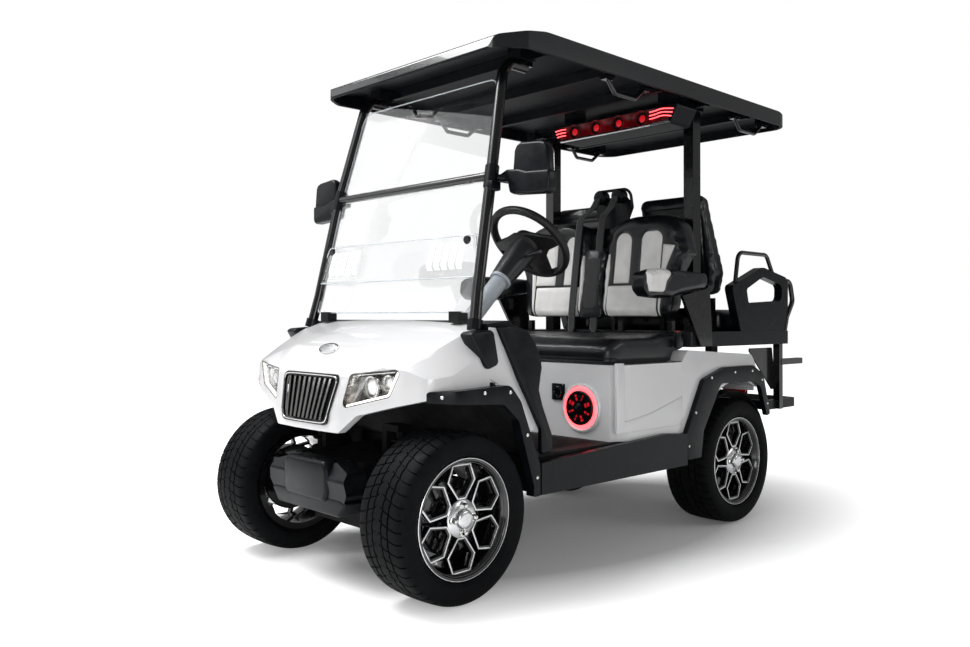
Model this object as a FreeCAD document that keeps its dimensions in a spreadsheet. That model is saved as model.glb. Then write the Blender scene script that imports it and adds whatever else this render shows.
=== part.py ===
import FreeCAD, Part, Sketcher
import math
import os
import re
from types import SimpleNamespace
from FreeCAD import Placement, Rotation, Vector

# Four-seat golf cart. +X is the cart's left, -Y its front, +Z up, millimetres.
# Pieces are modelled from the middle of the wheelbase; each Placement moves them by
# origin_shift, so that the origin ends up under the middle of the whole cart, on the ground.

SIZES = {
    "wheelbase": 1650, "track": 950, "origin_shift": 248.25,
    "tyre_radius": 275.5, "tyre_width": 222, "bead_radius": 178.8, "lip_radius": 194,
    "rim_width": 200, "bead_gap": 0.3, "spindle_radius": 15, "drum_radius": 90, "running_gap": 0.3, "skin_gap": 0.8,
    "screen_split": 1404,
    "kingpin_inset": 75, "arm_rise": 70, "arm_eye": 24, "arm_eye_height": 18,
    "steer_arm": 105, "tie_rod_radius": 8, "rack_height": 237,
    "rail_spacing": 380, "rail_width": 45, "rail_height": 90, "rail_top": 425,
    "floor_top": 440, "floor_thickness": 10, "floor_half": 558,
    "body_half": 575, "body_wall": 8, "pod_front": -52, "pod_rear": 386, "pod_top": 732,
    "body_top": 780, "body_rear": 1028, "skirt_half": 600, "skirt_depth": 42, "sill_bottom": 310,
    "arch_radius": 300,
    "nose": 235, "cowl_base": 524, "hood_top": 905, "cowl_wall": 6,
    "strut_radius": 20, "strut_foot": 496, "strut_middle": 460, "strut_head": 419,
    "roof_half": 575, "roof_front": -640, "roof_rear": 1332, "roof_under": 1850, "roof_depth": 34,
    "roof_wall": 6, "roof_lift": 30,
    "post_width": 50, "post_depth": 60, "post_spacing": 842, "post_station": 697,
    "cushion_half": 540, "cushion_height": 113, "deck_half": 540, "deck_rear": 1386,
    "deck_depth": 65, "deck_front": 495,
    "wheel_x": 250, "wheel_height": 1212, "wheel_station": -194, "column_angle": 44,
    "wheel_radius": 180, "grip_radius": 12, "column_radius": 33,
    "step_front": 1270, "step_rear": 1577, "step_half": 480, "step_top": 508, "step_depth": 45,
    "bumper_half": 242, "seat_gap": 0.3,
}

document = FreeCAD.newDocument("golf_cart")
sheet = document.addObject("Spreadsheet::Sheet", "Sizes")
for row, (alias, value) in enumerate(SIZES.items(), start=1):
    sheet.set(f"A{row}", alias)
    sheet.set(f"B{row}", str(value))
    sheet.setAlias(f"B{row}", alias)
document.recompute()
size = SimpleNamespace(**{alias: float(sheet.get(alias)) for alias in SIZES})
size.front_axle = -size.wheelbase / 2
size.rear_axle = size.wheelbase / 2
DERIVED = {"front_axle": "(0 - Sizes.wheelbase / 2)", "rear_axle": "(Sizes.wheelbase / 2)"}
subparts = []


# ---------------------------------------------------------------- document helpers

def formula(text):
    """Turn words such as 'track / 2 + 5' into an expression on the sheet's cells."""
    return re.sub(r"[a-z]\w+", lambda word: DERIVED.get(word[0], "Sizes." + word[0]), str(text))


def bind(item, prop, text):
    item.setExpression(prop, formula(text))


def finish(item, name, x="0", y="0", z="0"):
    """Name a sub-part and put it in the cart's frame."""
    item.Label = name
    bind(item, "Placement.Base.x", x)
    bind(item, "Placement.Base.y", f"{y} - origin_shift")
    bind(item, "Placement.Base.z", z)
    subparts.append(item)
    return item


def piece(name, solids):
    """Make a sub-part from solids of this file's own shape functions."""
    item = document.addObject("Part::Feature", name)
    item.Shape = Part.makeCompound(solids)
    return finish(item, name)


def new_body(name):
    body = document.addObject("PartDesign::Body", name)
    body.AllowCompound = True
    return body


def origin_feature(body, role):
    return next(item for item in body.Origin.OriginFeatures if item.Role == role)


def sketch(body, plane, corners, level="0"):
    """Closed outline of straight lines, each corner tied to the sheet in both directions."""
    drawing = body.newObject("Sketcher::SketchObject", body.Name + "_outline")
    drawing.AttachmentSupport = [(origin_feature(body, plane + "_Plane"), "")]
    drawing.MapMode = "FlatFace"
    bind(drawing, "AttachmentOffset.Base.z", level)
    count = len(corners)
    ring = [Vector(100 * math.cos(2 * math.pi * i / count), 100 * math.sin(2 * math.pi * i / count), 0)
            for i in range(count)]
    for index in range(count):
        drawing.addGeometry(Part.LineSegment(ring[index], ring[(index + 1) % count]), False)
    for index in range(count):
        drawing.addConstraint(Sketcher.Constraint("Coincident", index, 2, (index + 1) % count, 1))
    for index, (across, along) in enumerate(corners):
        for kind, start, text in (("DistanceX", ring[index].x, across), ("DistanceY", ring[index].y, along)):
            number = drawing.addConstraint(Sketcher.Constraint(kind, index, 1, start))
            bind(drawing, f"Constraints[{number}]", text)
    document.recompute()
    return drawing


def pad(body, plane, corners, low, high):
    """Extrude an outline between two levels along the plane's normal axis."""
    level, length = (f"0 - ({high})", f"({high}) - ({low})") if plane == "XZ" else (low, f"({high}) - ({low})")
    drawing = sketch(body, plane, corners, level)
    feature = body.newObject("PartDesign::Pad", body.Name + "_pad")
    feature.Profile = drawing
    bind(feature, "Length", length)
    document.recompute()
    return feature


def pocket(body, plane, corners, low, high):
    """Cut an outline between two levels along the plane's normal axis."""
    level = f"0 - ({low})" if plane == "XZ" else high
    drawing = sketch(body, plane, corners, level)
    before = body.Shape.Volume
    feature = body.newObject("PartDesign::Pocket", body.Name + "_pocket")
    feature.Profile = drawing
    bind(feature, "Length", f"({high}) - ({low})")
    document.recompute()
    if body.Shape.Volume >= before - 1:
        raise RuntimeError(body.Name + ": a pocket cuts nothing")
    return feature


def revolve(body, plane, corners, axis):
    drawing = sketch(body, plane, corners)
    feature = body.newObject("PartDesign::Revolution", body.Name + "_revolution")
    feature.Profile = drawing
    feature.ReferenceAxis = (drawing, [axis])
    feature.Angle = 360
    document.recompute()
    return feature


def mirror_body(body, features):
    """Copy a body's features to the cart's other side."""
    feature = body.newObject("PartDesign::Mirrored", body.Name + "_mirror")
    feature.Originals = features
    feature.MirrorPlane = (origin_feature(body, "YZ_Plane"), [""])
    body.Tip = feature
    document.recompute()
    return feature


X, Y, Z = Vector(1, 0, 0), Vector(0, 1, 0), Vector(0, 0, 1)


# ---------------------------------------------------------------- shape helpers

def box(x_low, x_high, y_low, y_high, z_low, z_high):
    return Part.makeBox(x_high - x_low, y_high - y_low, z_high - z_low, Vector(x_low, y_low, z_low))


def corner_path(points, radii):
    """Straight runs joined by tangent arcs: the edges and the end points."""
    edges = []
    last = points[0]
    for index in range(1, len(points) - 1):
        corner = points[index]
        back = (points[index - 1] - corner).normalize()
        ahead = (points[index + 1] - corner).normalize()
        half = math.acos(max(-1, min(1, back.dot(ahead)))) / 2
        cut = radii[index] / math.tan(half)
        start, end = corner + back * cut, corner + ahead * cut
        centre = corner + (back + ahead).normalize() * (radii[index] / math.sin(half))
        middle = centre + (corner - centre).normalize() * radii[index]
        if (start - last).Length > 1e-6:
            edges.append(Part.LineSegment(last, start).toShape())
        edges.append(Part.Arc(start, middle, end).toShape())
        last = end
    if (points[-1] - last).Length > 1e-6:
        edges.append(Part.LineSegment(last, points[-1]).toShape())
    return edges


def tube(points, radius, bend, bore=0):
    """Round bar or tube along straight runs with bends of one radius."""
    points = [Vector(*point) for point in points]
    path = Part.Wire(corner_path(points, [bend] * len(points)))
    direction = points[1] - points[0]

    def sweep(round_radius):
        circle = Part.Wire(Part.makeCircle(round_radius, points[0], direction))
        shell = path.makePipeShell([circle], True, False)
        return Part.Solid(shell) if shell.ShapeType != "Solid" else shell
    solid = sweep(radius)
    return solid.cut(sweep(bore)) if bore else solid


def outline_face(plane, corners, level=0):
    """Face from corners (a, b) or (a, b, radius), with rounded corners as arcs."""
    place = {"XY": lambda a, b: Vector(a, b, level), "XZ": lambda a, b: Vector(a, level, b),
             "YZ": lambda a, b: Vector(level, a, b)}[plane]
    points = [place(corner[0], corner[1]) for corner in corners]
    radii = [corner[2] if len(corner) > 2 else 0 for corner in corners]
    count = len(points)
    edges = []
    starts = []
    ends = []
    for index, corner in enumerate(points):
        back = (points[index - 1] - corner).normalize()
        ahead = (points[(index + 1) % count] - corner).normalize()
        if radii[index] == 0:
            starts.append(corner)
            ends.append(corner)
            continue
        half = math.acos(max(-1, min(1, back.dot(ahead)))) / 2
        cut = radii[index] / math.tan(half)
        centre = corner + (back + ahead).normalize() * (radii[index] / math.sin(half))
        starts.append(corner + back * cut)
        ends.append(corner + ahead * cut)
        middle = centre + (corner - centre).normalize() * radii[index]
        edges.append(Part.Arc(starts[-1], middle, ends[-1]).toShape())
    for index in range(count):
        start, end = ends[index], starts[(index + 1) % count]
        if (end - start).Length > 1e-6:
            edges.append(Part.LineSegment(start, end).toShape())
    return Part.Face(Part.Wire(Part.__sortEdges__(edges)))


NORMALS = {"XY": Z, "XZ": Y, "YZ": X}


def slab(plane, corners, low, high, inset=0):
    """Prism of an outline between two levels; inset moves its walls inwards."""
    face = outline_face(plane, corners, low)
    if inset:
        face = face.makeOffset2D(-inset, join=2)
    return face.extrude(NORMALS[plane] * (high - low))


def both(solids):
    """The solids and their mirror images on the cart's right."""
    return list(solids) + [solid.mirror(Vector(0, 0, 0), X) for solid in solids]


def rod(start, end, radius):
    start, end = Vector(*start), Vector(*end)
    return Part.makeCylinder(radius, (end - start).Length, start, end - start)


def fused(solids):
    return solids[0].multiFuse(list(solids[1:])).removeSplitter()


# ---------------------------------------------------------------- wheels

CORNERS = (  # name, side (+1 left), axle
    ("fl", 1, "front_axle"), ("fr", -1, "front_axle"), ("rl", 1, "rear_axle"), ("rr", -1, "rear_axle"),
)
WINDOWS = (  # outline of one wheel window: (across, out from the axle)
    (("-12", "98"), ("12", "98"), ("34", "122"), ("30", "158"), ("-30", "158"), ("-34", "122")),
    (("-9", "94"), ("0", "84"), ("9", "94"), ("7", "150"), ("-7", "150")),
)


def make_tyre(name, side, axle):
    body = new_body(f"tyre_{name}")
    edge, inner = "tyre_width / 2", "rim_width / 2 - 8"
    half = [(inner, "bead_radius"), (inner, "lip_radius + 1"), (f"{edge} - 5", "lip_radius + 12"),
            (edge, "tyre_radius - 44"), (f"{edge} - 7", "tyre_radius - 14"), (f"{edge} - 27", "tyre_radius")]
    revolve(body, "XZ", half + [(f"0 - ({across})", along) for across, along in reversed(half)], "H_Axis")
    finish(body, f"tyre_{name}", f"{side} * track / 2", axle, "tyre_radius")


def make_rim(name, side, axle):
    """Rim with its disc, hub and brake drum in one turned outline, then six pairs of windows."""
    body = new_body(f"rim_{name}")
    seat = "bead_radius - bead_gap"
    turned = [("0 - rim_width / 2", "bead_radius - 8"), ("0 - rim_width / 2", "lip_radius"),
              ("7.7 - rim_width / 2", "lip_radius"), ("7.7 - rim_width / 2", seat),
              ("rim_width / 2 - 7.7", seat), ("rim_width / 2 - 7.7", "lip_radius"),
              ("rim_width / 2", "lip_radius"), ("rim_width / 2", "lip_radius - 12"),
              ("86", "bead_radius - 9"), ("78", "160"), ("62", "80"), ("72", "60"), ("94", "56"), ("96", "34"),
              ("104", "28"), ("104", "0"), ("82", "0"), ("82", "spindle_radius + running_gap"),
              ("22", "spindle_radius + running_gap"), ("22", "drum_radius - 8"), ("-24", "drum_radius - 8"),
              ("-24", "drum_radius"), ("40", "drum_radius"), ("46", "92"), ("62", "162"), ("66", "bead_radius - 8")]
    revolve(body, "XZ", [(f"{side} * ({across})", along) for across, along in turned], "H_Axis")
    for corners in WINDOWS:
        low, high = ("42", "110") if side > 0 else ("-110", "-42")
        cut = pocket(body, "YZ", corners, low, high)
        cut.Reversed = False
        pattern = body.newObject("PartDesign::PolarPattern", body.Name + "_pattern")
        pattern.Originals = [cut]
        pattern.Axis = (origin_feature(body, "X_Axis"), [""])
        pattern.Angle = 360
        pattern.Occurrences = 6
        body.Tip = pattern
        document.recompute()
    finish(body, f"rim_{name}", f"{side} * track / 2", axle, "tyre_radius")


for corner in CORNERS:
    make_tyre(*corner)
    make_rim(*corner)


# ---------------------------------------------------------------- front axle and steering

axle_height = size.tyre_radius
kingpin_x = size.track / 2 - size.kingpin_inset
arm_end = Vector(kingpin_x - 15, size.front_axle + size.steer_arm, size.rack_height)
subframe_half = 150


def make_knuckle(name, side):
    """Upright on the kingpin, spindle, brake backing plate and steering arm."""
    reach = size.arm_rise - size.arm_eye_height / 2 - size.running_gap
    y, z = size.front_axle, axle_height
    upright = rod((kingpin_x, y, z - reach), (kingpin_x, y, z + reach), 20)
    spindle = rod((kingpin_x, y, z), (size.track / 2 + 80, y, z), size.spindle_radius)
    plate = rod((size.track / 2 - 31, y, z), (size.track / 2 - 25, y, z), size.drum_radius + 2)
    low = arm_end.z + size.tie_rod_radius + 0.7
    arm = box(arm_end.x - 14, kingpin_x + 10, y, arm_end.y, low, low + 12)
    eye = rod((arm_end.x, arm_end.y, low), (arm_end.x, arm_end.y, low + 12), 14)
    knuckle = fused([upright, spindle, plate, arm, eye])
    piece(f"knuckle_{name}", [knuckle if side > 0 else knuckle.mirror(Vector(0, 0, 0), X)])


make_knuckle("left", 1)
make_knuckle("right", -1)

rod_eye = rod((arm_end.x, arm_end.y, arm_end.z - 7), (arm_end.x, arm_end.y, arm_end.z + size.tie_rod_radius + 0.4), 14)
piece("tie_rods", [fused(both([rod_eye]) + [
    rod((-arm_end.x, arm_end.y, arm_end.z), (arm_end.x, arm_end.y, arm_end.z), size.tie_rod_radius)])])


def wishbone(height, spread, inner_x, inner_z):
    """Two bars from the frame to one eye at the kingpin."""
    y = size.front_axle
    half = size.arm_eye_height / 2
    eye = rod((kingpin_x, y, height - half), (kingpin_x, y, height + half), size.arm_eye)
    bars = [rod((inner_x, y + way * spread, inner_z), (kingpin_x - 12, y + way * 6, height), 9) for way in (-1, 1)]
    return fused([eye] + bars).cut(box(0, inner_x + size.seat_gap, y - 200, y + 200, height - 100, height + 100))


def coil_over(lower, upper, radius, turns):
    """Damper with a stack of rings for its spring's turns."""
    lower, upper = Vector(*lower), Vector(*upper)
    way = (upper - lower).normalize()
    length = (upper - lower).Length
    parts = [Part.makeCylinder(radius * 0.45, length, lower, way)]
    for turn in range(turns):
        place = lower + way * length * (0.3 + 0.6 * turn / (turns - 1))
        parts.append(Part.makeTorus(radius - 5, 5, place, way).fuse(
            Part.makeCylinder(radius - 3, 3, place - way * 1.5, way)))
    return fused(parts)


rack_bore = size.tie_rod_radius + size.running_gap
rack = rod((-subframe_half, arm_end.y, arm_end.z), (subframe_half, arm_end.y, arm_end.z), 22).cut(
    rod((-subframe_half, arm_end.y, arm_end.z), (subframe_half, arm_end.y, arm_end.z), rack_bore))
low_arm = wishbone(axle_height - size.arm_rise, 75, subframe_half, axle_height - size.arm_rise + 10)
high_arm = wishbone(axle_height + size.arm_rise, 55, size.rail_spacing / 2 + size.rail_width / 2,
                    axle_height + size.arm_rise + 25)
spring = coil_over((280, size.front_axle, axle_height - size.arm_rise + 2),
                   (size.rail_spacing / 2 + 50, size.front_axle, 524), 34, 6)
spring = spring.cut(box(0, 400, size.front_axle - 60, size.front_axle + 60, 522 - size.seat_gap, 600))
foot_plate = box(258, 300, size.front_axle - 45, size.front_axle + 45, axle_height - size.arm_rise - 6,
                 axle_height - size.arm_rise + 8)
piece("front_suspension", both([fused([low_arm, spring, foot_plate]), high_arm]) + [rack])


# ---------------------------------------------------------------- frame and rear axle

rail_x = size.rail_spacing / 2
rail_low = size.rail_top - size.rail_height
frame_front, frame_rear = size.front_axle - 135, size.rear_axle + 435
CROSS_MEMBERS = (frame_front + 25, size.front_axle + 300, -20, 420, size.rear_axle - 230, frame_rear - 25)
rails = both([box(rail_x - size.rail_width / 2, rail_x + size.rail_width / 2, frame_front, frame_rear,
                  rail_low, size.rail_top)])
members = [box(-rail_x, rail_x, y - 20, y + 20, rail_low + 15, size.rail_top - 15) for y in CROSS_MEMBERS]
outriggers = both([box(rail_x, size.floor_half, y - 20, y + 20, size.rail_top - 40, size.rail_top + 4.7)
                   for y in (size.front_axle + 360, -20, 360)])
subframe = [box(-subframe_half, subframe_half, size.front_axle - 90, size.front_axle + 82,
                axle_height - 90, axle_height + 20)]
towers = both([box(rail_x - 15, rail_x + 74, size.front_axle - 30, size.front_axle + 30, 522, 545),
               box(rail_x - 15, rail_x + 10, size.front_axle - 30, size.front_axle + 30, size.rail_top, 530),
               box(subframe_half - 10, rail_x + 15, size.front_axle - 30, size.front_axle + 30,
                   axle_height - 20, rail_low)])
risers = both([box(rail_x - 18, rail_x + 18, frame_rear - 60, frame_rear, size.rail_top,
                   size.body_top + 74 - size.deck_depth)])
piece("frame", [fused(rails + members + outriggers + subframe + towers + risers)])

axle_z = size.tyre_radius
hub_face = size.track / 2 - 31
axle_tube = rod((-hub_face, size.rear_axle, axle_z), (hub_face, size.rear_axle, axle_z), 32)
case = slab("XZ", [(-30, axle_z - 90, 40), (-30, axle_z + 90, 40), (110, axle_z + 90, 60), (110, axle_z - 90, 60)],
            size.rear_axle - 85, size.rear_axle + 85)
gear_case = box(-53, 60, size.rear_axle, size.rear_axle + 170, axle_z - 75, axle_z + 55)
plates = both([rod((hub_face, size.rear_axle, axle_z), (hub_face + 6, size.rear_axle, axle_z),
                   size.drum_radius + 2),
               rod((hub_face, size.rear_axle, axle_z), (size.track / 2 + 80, size.rear_axle, axle_z),
                   size.spindle_radius)])
piece("rear_axle", [fused([axle_tube, case, gear_case] + plates)])
motor_place = (size.rear_axle + 125, axle_z - 27)
piece("motor", [rod((-235, *motor_place), (-53.3, *motor_place), 85)])

spring_x = size.track / 2 - 165


def leaf_spring():
    """Three leaves under the axle, a shackle, a hanger and a damper for one side."""
    y, z = size.rear_axle, axle_z - 33
    leaves = [slab("YZ", [(y - reach, z + 40 * reach / 330), (y, z - 9 * step), (y + reach, z + 40 * reach / 330),
                          (y + reach, z + 40 * reach / 330 - 8), (y, z - 9 * step - 9),
                          (y - reach, z + 40 * reach / 330 - 8)], spring_x - 25, spring_x + 25)
              for step, reach in enumerate((330, 240, 150))]
    eyes = [rod((spring_x - 25, y + way * 330, z + 38), (spring_x + 25, y + way * 330, z + 38), 14)
            for way in (-1, 1)]
    hangers = [box(spring_x - 32, spring_x - 25, y + way * 330 - 15, y + way * 330 + 15, z + 34, rail_low + 30)
               for way in (-1, 1)]
    links = [box(rail_x + size.rail_width / 2, spring_x - 25, y + way * 330 - 15, y + way * 330 + 15,
                 rail_low + 10, rail_low + 30) for way in (-1, 1)]
    return fused(leaves + eyes + hangers + links)


piece("rear_suspension", both([leaf_spring()]))


# ---------------------------------------------------------------- floor, sills, pod and rear body



def make_floor():
    body = new_body("floor")
    pad(body, "YZ", [("front_axle + 345", "floor_top - floor_thickness"), ("pod_front", "floor_top - floor_thickness"),
                     ("pod_front", "floor_top"), ("front_axle + 352", "floor_top"), ("front_axle + 140", "700"),
                     ("front_axle + 130", "692")], "0 - floor_half", "floor_half")
    finish(body, "floor")


def make_sills():
    body = new_body("sills")
    panel = pad(body, "YZ", [("front_axle + 327", "sill_bottom"), ("pod_rear", "sill_bottom"),
                             ("pod_rear", "sill_bottom + 128"), ("245", "floor_top + 10"),
                             ("front_axle + 419", "floor_top - 16"), ("front_axle + 327", "floor_top - 22")],
                "body_half + running_gap", "skirt_half")
    ledge = pad(body, "YZ", [("front_axle + 327", "sill_bottom"), ("pod_rear", "sill_bottom"),
                             ("pod_rear", "floor_top - 22"), ("front_axle + 327", "floor_top - 22")],
                "floor_half + running_gap", "body_half + running_gap")
    mirror_body(body, [panel, ledge])
    finish(body, "sills")


make_floor()
make_sills()


def make_pod():
    """Seat pod: a box with cut corners in front, open below and at the back."""
    body = new_body("seat_pod")

    def plan(inset):
        side, front = f"body_half - {inset}", f"pod_front + {inset}"
        cut = "70"
        return [(f"0 - ({side})", "pod_rear"), (f"0 - ({side})", f"{front} + {cut}"),
                (f"{cut} / 2 - ({side})", front), (f"{side} - {cut} / 2", front),
                (side, f"{front} + {cut}"), (side, "pod_rear")]
    pad(body, "XY", plan("0"), "floor_top + running_gap", "pod_top")
    pocket(body, "XY", plan("body_wall"), "floor_top", "pod_top - body_wall")
    finish(body, "seat_pod")


make_pod()
piece("battery", [box(-280, 280, 20, 330, size.rail_top + 0.3, 690)])

arch = rod((-700, size.rear_axle, axle_z), (700, size.rear_axle, axle_z), size.arch_radius + 60)


def rear_shape(inset):
    top = size.body_top
    profile = [(size.pod_rear + size.seat_gap - (10 if inset else 0), size.floor_top + size.seat_gap),
               (size.pod_rear + size.seat_gap - (10 if inset else 0), size.pod_top + 6),
               (size.pod_rear + 40, top, 25), (943, top - 30, 20), (size.body_rear, 654, 20),
               (size.body_rear - 10, 520), (size.rear_axle, 500)]
    plan = [(-size.body_half, size.pod_rear - 40), (size.body_half, size.pod_rear - 40),
            (size.body_half, size.body_rear, 60), (-size.body_half, size.body_rear, 60)]
    solid = slab("YZ", profile, -size.body_half - 5, size.body_half + 5, inset)
    return solid.common(slab("XY", plan, 300, 900, inset))


rear_shell = rear_shape(0).cut(rear_shape(size.body_wall))
rear_shell = rear_shell.cut(box(-size.body_half + 8, size.body_half - 8, size.pod_rear + 8, size.body_rear - 8,
                                300, 600)).cut(arch)
piece("rear_body", [rear_shell])


# ---------------------------------------------------------------- cowl and its trim

nose_y = size.front_axle - size.nose
hood_rear = size.front_axle + 125


COWL_SECTIONS = (  # station behind the nose, shoulder half width, shoulder height, crown, side height
    (-30, 410, 690, 735, 676), (90, 443, 752, 812, 690), (220, 480, 822, 868, 740),
    (360, 500, 887, 905, 800),
)
COWL_PLAN = ((0, nose_y - 4), (180, nose_y + 8, 160), (441, nose_y + 82, 200), (528, nose_y + 118, 70),
             (556, nose_y + 210, 100), (556, hood_rear), (-556, hood_rear), (-556, nose_y + 210, 100),
             (-528, nose_y + 118, 70), (-441, nose_y + 82, 200), (-180, nose_y + 8, 160))
COWL_SKIRT = ((190, 6), (265, 68), (430, 108), (552, 136))  # half width, height over the base


def cowl_section(station, shoulder, shoulder_top, crown, side_top, inset):
    """Cross-section with a crowned hood between two shoulders and a skirt that rises outwards."""
    y = nose_y + station
    skirt = [Vector(x - inset, y, size.cowl_base + rise + inset) for x, rise in COWL_SKIRT]
    side = [Vector(552 - inset, y, side_top - inset), Vector(shoulder - inset * 0.7, y, shoulder_top - inset)]
    right = [Vector(-point.x, point.y, point.z) for point in reversed(skirt + side)]
    ring = skirt + side
    edges = [Part.LineSegment(low, high).toShape() for low, high in zip(ring, ring[1:])]
    edges.append(Part.Arc(ring[-1], Vector(0, y, crown - inset), right[0]).toShape())
    edges += [Part.LineSegment(low, high).toShape() for low, high in zip(right, right[1:])]
    edges.append(Part.LineSegment(right[-1], ring[0]).toShape())
    return Part.Wire(edges)


def cowl_shape(inset):
    """Lofted hood and sides, limited by the side view's sloping face and by the plan's swept-back corners."""
    side = [(nose_y, size.cowl_base), (nose_y - 1, 560, 20), (nose_y + 34, 722, 40), (nose_y + 115, 819, 90),
            (nose_y + 210, 868, 200), (hood_rear, size.hood_top + 5), (hood_rear, size.cowl_base)]
    solid = Part.makeLoft([cowl_section(*row, inset) for row in COWL_SECTIONS], True, False)
    solid = solid.common(slab("YZ", side, -600, 600, inset))
    return solid.common(slab("XY", COWL_PLAN, 400, 1000, inset))


hollow = cowl_shape(size.cowl_wall)
LAMP_CORNERS = ((207, 612, 12), (225, 727, 15), (441, 751, 15), (394, 658, 15))
lamp_slope = [(200, nose_y - 60), (460, nose_y + 20), (460, nose_y + 110), (200, nose_y + 60)]


def lamp_shape(growth):
    """Block that holds one headlamp; its front is the cowl's own surface."""
    block = slab("XZ", LAMP_CORNERS, nose_y - 20, nose_y + 200, -growth)
    return block.common(slab("XY", lamp_slope, 500, 900, -growth))


mouth = slab("XY", COWL_PLAN, size.cowl_base - 20, size.cowl_base + 130, 30)
mouth = mouth.fuse(box(-540, 540, hood_rear - 60, hood_rear + 1, size.cowl_base - 20, size.cowl_base + 130))
grille_hole = slab("XZ", [(-162, 710, 14), (162, 710, 14), (129, 566, 14), (-129, 566, 14)], nose_y - 60, nose_y + 60)
cowl_solid = cowl_shape(0)
cowl = cowl_solid.cut(hollow).cut(box(-530, 530, hood_rear - 10, hood_rear + 1, 560, 860)).cut(mouth)
for cutter in both([lamp_shape(size.seat_gap)]) + [grille_hole]:
    cowl = cowl.cut(cutter)
cheek = slab("YZ", [(hood_rear - 1, 882), (hood_rear + 26, 880), (size.front_axle + 357, 528),
                    (size.front_axle + 315, 524), (size.front_axle + 232, 662), (hood_rear - 1, 712)], 546, 552)
cowl = fused([max(cowl.Solids, key=lambda solid: solid.Volume)] + both([cheek]))
piece("cowl", [cowl])
GRILLE_BARS = 9


def make_grille():
    """Frame round the cowl's opening with upright bars, following the sloping nose."""
    lean = cowl_solid.common(slab("XZ", [(-176, 722, 22), (176, 722, 22), (140, 552, 22), (-140, 552, 22)],
                                  nose_y - 60, nose_y + 60))
    frame_ring = lean.copy()
    frame_ring.translate(Vector(0, -6.3, 0))
    frame_ring = frame_ring.cut(cowl_solid)
    hole = slab("XZ", [(-160, 708, 14), (160, 708, 14), (127, 566, 14), (-127, 566, 14)], nose_y - 80, nose_y + 80)
    bars = [slab("XZ", [(x * 0.8 - 6, 562), (x - 7, 712), (x + 7, 712), (x * 0.8 + 6, 562)], nose_y - 60, nose_y + 60)
            for x in (160 * (2 * (bar + 1) / (GRILLE_BARS + 1) - 1) for bar in range(GRILLE_BARS))]
    slats = [bar.common(frame_ring) for bar in bars]
    return fused([frame_ring.cut(hole)] + slats)


piece("grille", [max(make_grille().Solids, key=lambda solid: solid.Volume)])
piece("headlamps", both([cowl_solid.common(lamp_shape(0))]))

BUMPER = ((-226, 398, 12), (-135, 424, 20), (135, 424, 20), (226, 398, 12), (242, 330, 20), (190, 252, 25),
          (-190, 252, 25), (-242, 330, 20))
bumper_back = frame_front - size.seat_gap
bumper_side = [(bumper_back, 424), (bumper_back - 55, 424, 15), (bumper_back - 95, 372, 25),
               (bumper_back - 80, 262, 25), (bumper_back, 245)]
bumper = slab("XZ", BUMPER, bumper_back - 120, bumper_back).common(slab("YZ", bumper_side, -300, 300))
bumper = bumper.cut(slab("XZ", BUMPER, bumper_back - 40, bumper_back + 1, 8).common(
    slab("YZ", [(bumper_back - 40, 424), (bumper_back + 1, 424), (bumper_back + 1, 250), (bumper_back - 40, 250)],
         -150, 150)))
piece("bumper", [bumper])

skirt_in = size.skirt_half - size.skirt_depth
fa, ra = size.front_axle, size.rear_axle
FRONT_FLARE = ((fa - 176, 649, 8), (fa - 129, 681, 12), (fa + 177, 692, 40), (fa + 228, 635, 30),
               (fa + 323, 410, 20), (fa + 326, 308, 6), (fa + 290, 308, 6), (fa + 292, 345, 10),
               (fa + 218, 571, 30), (fa + 147, 630, 30))
REAR_FLARE = ((ra - 430, 330, 6), (ra - 438, 440, 12), (ra - 306, 655, 30), (ra - 140, 700, 60),
              (ra + 100, 701, 60), (ra + 190, 655, 40), (ra + 252, 470, 8), (ra + 222, 462, 8),
              (ra + 165, 600, 40), (ra + 110, 627, 30), (ra - 175, 631, 40), (ra - 313, 440, 12), (ra - 333, 330, 6))
flare_plan = [(500, fa - 150), (505, fa - 156, 4), (552, fa - 128, 40), (size.skirt_half - 3, fa - 40, 90),
              (size.skirt_half - 3, fa + 400), (skirt_in + 2.5, fa + 400), (skirt_in + 2.5, fa - 20, 60),
              (500, fa - 90)]
front_flare = slab("YZ", FRONT_FLARE, 300, size.skirt_half).common(slab("XY", flare_plan, 200, 900))
front_flare = front_flare.cut(cowl_shape(-size.seat_gap))
front_flare = max(front_flare.Solids, key=lambda solid: solid.Volume)
rear_flare = slab("YZ", REAR_FLARE, size.body_half + size.seat_gap, size.skirt_half - 3)
piece("front_flares", both([front_flare]))
piece("rear_flares", both([rear_flare]))

strut_cover = slab("YZ", [(fa + 14, 868, 8), (fa + 135, 877, 8), (fa + 165, 761, 8), (fa + 96, 743, 8)], 470, 564)
kick = slab("YZ", [(fa + 155, 880, 8), (fa + 214, 889, 10), (fa + 310, 859, 30), (fa + 367, 761, 40),
                   (fa + 350, 660, 30), (fa + 419, 503, 30), (fa + 419, size.floor_top + 0.3),
                   (fa + 361, size.floor_top + 0.3), (fa + 361, 528, 20)], 545, 566)

dash_rear = hood_rear + 140
dash = slab("YZ", [(hood_rear + 0.3, 893, 6), (dash_rear - 30, 905, 15), (dash_rear, 860, 25), (dash_rear - 12, 770, 30),
                   (hood_rear + 50, 715, 20), (hood_rear + 0.3, 715)], -540, 540)
dash = dash.cut(slab("YZ", [(hood_rear + 60, 880, 6), (dash_rear - 28, 850, 6), (dash_rear - 5, 790, 6),
                            (hood_rear + 60, 735, 6)], -500, -60).cut(
    slab("YZ", [(hood_rear, 900), (dash_rear - 40, 900), (dash_rear - 40, 700), (hood_rear, 700)], -520, -40)))

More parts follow.
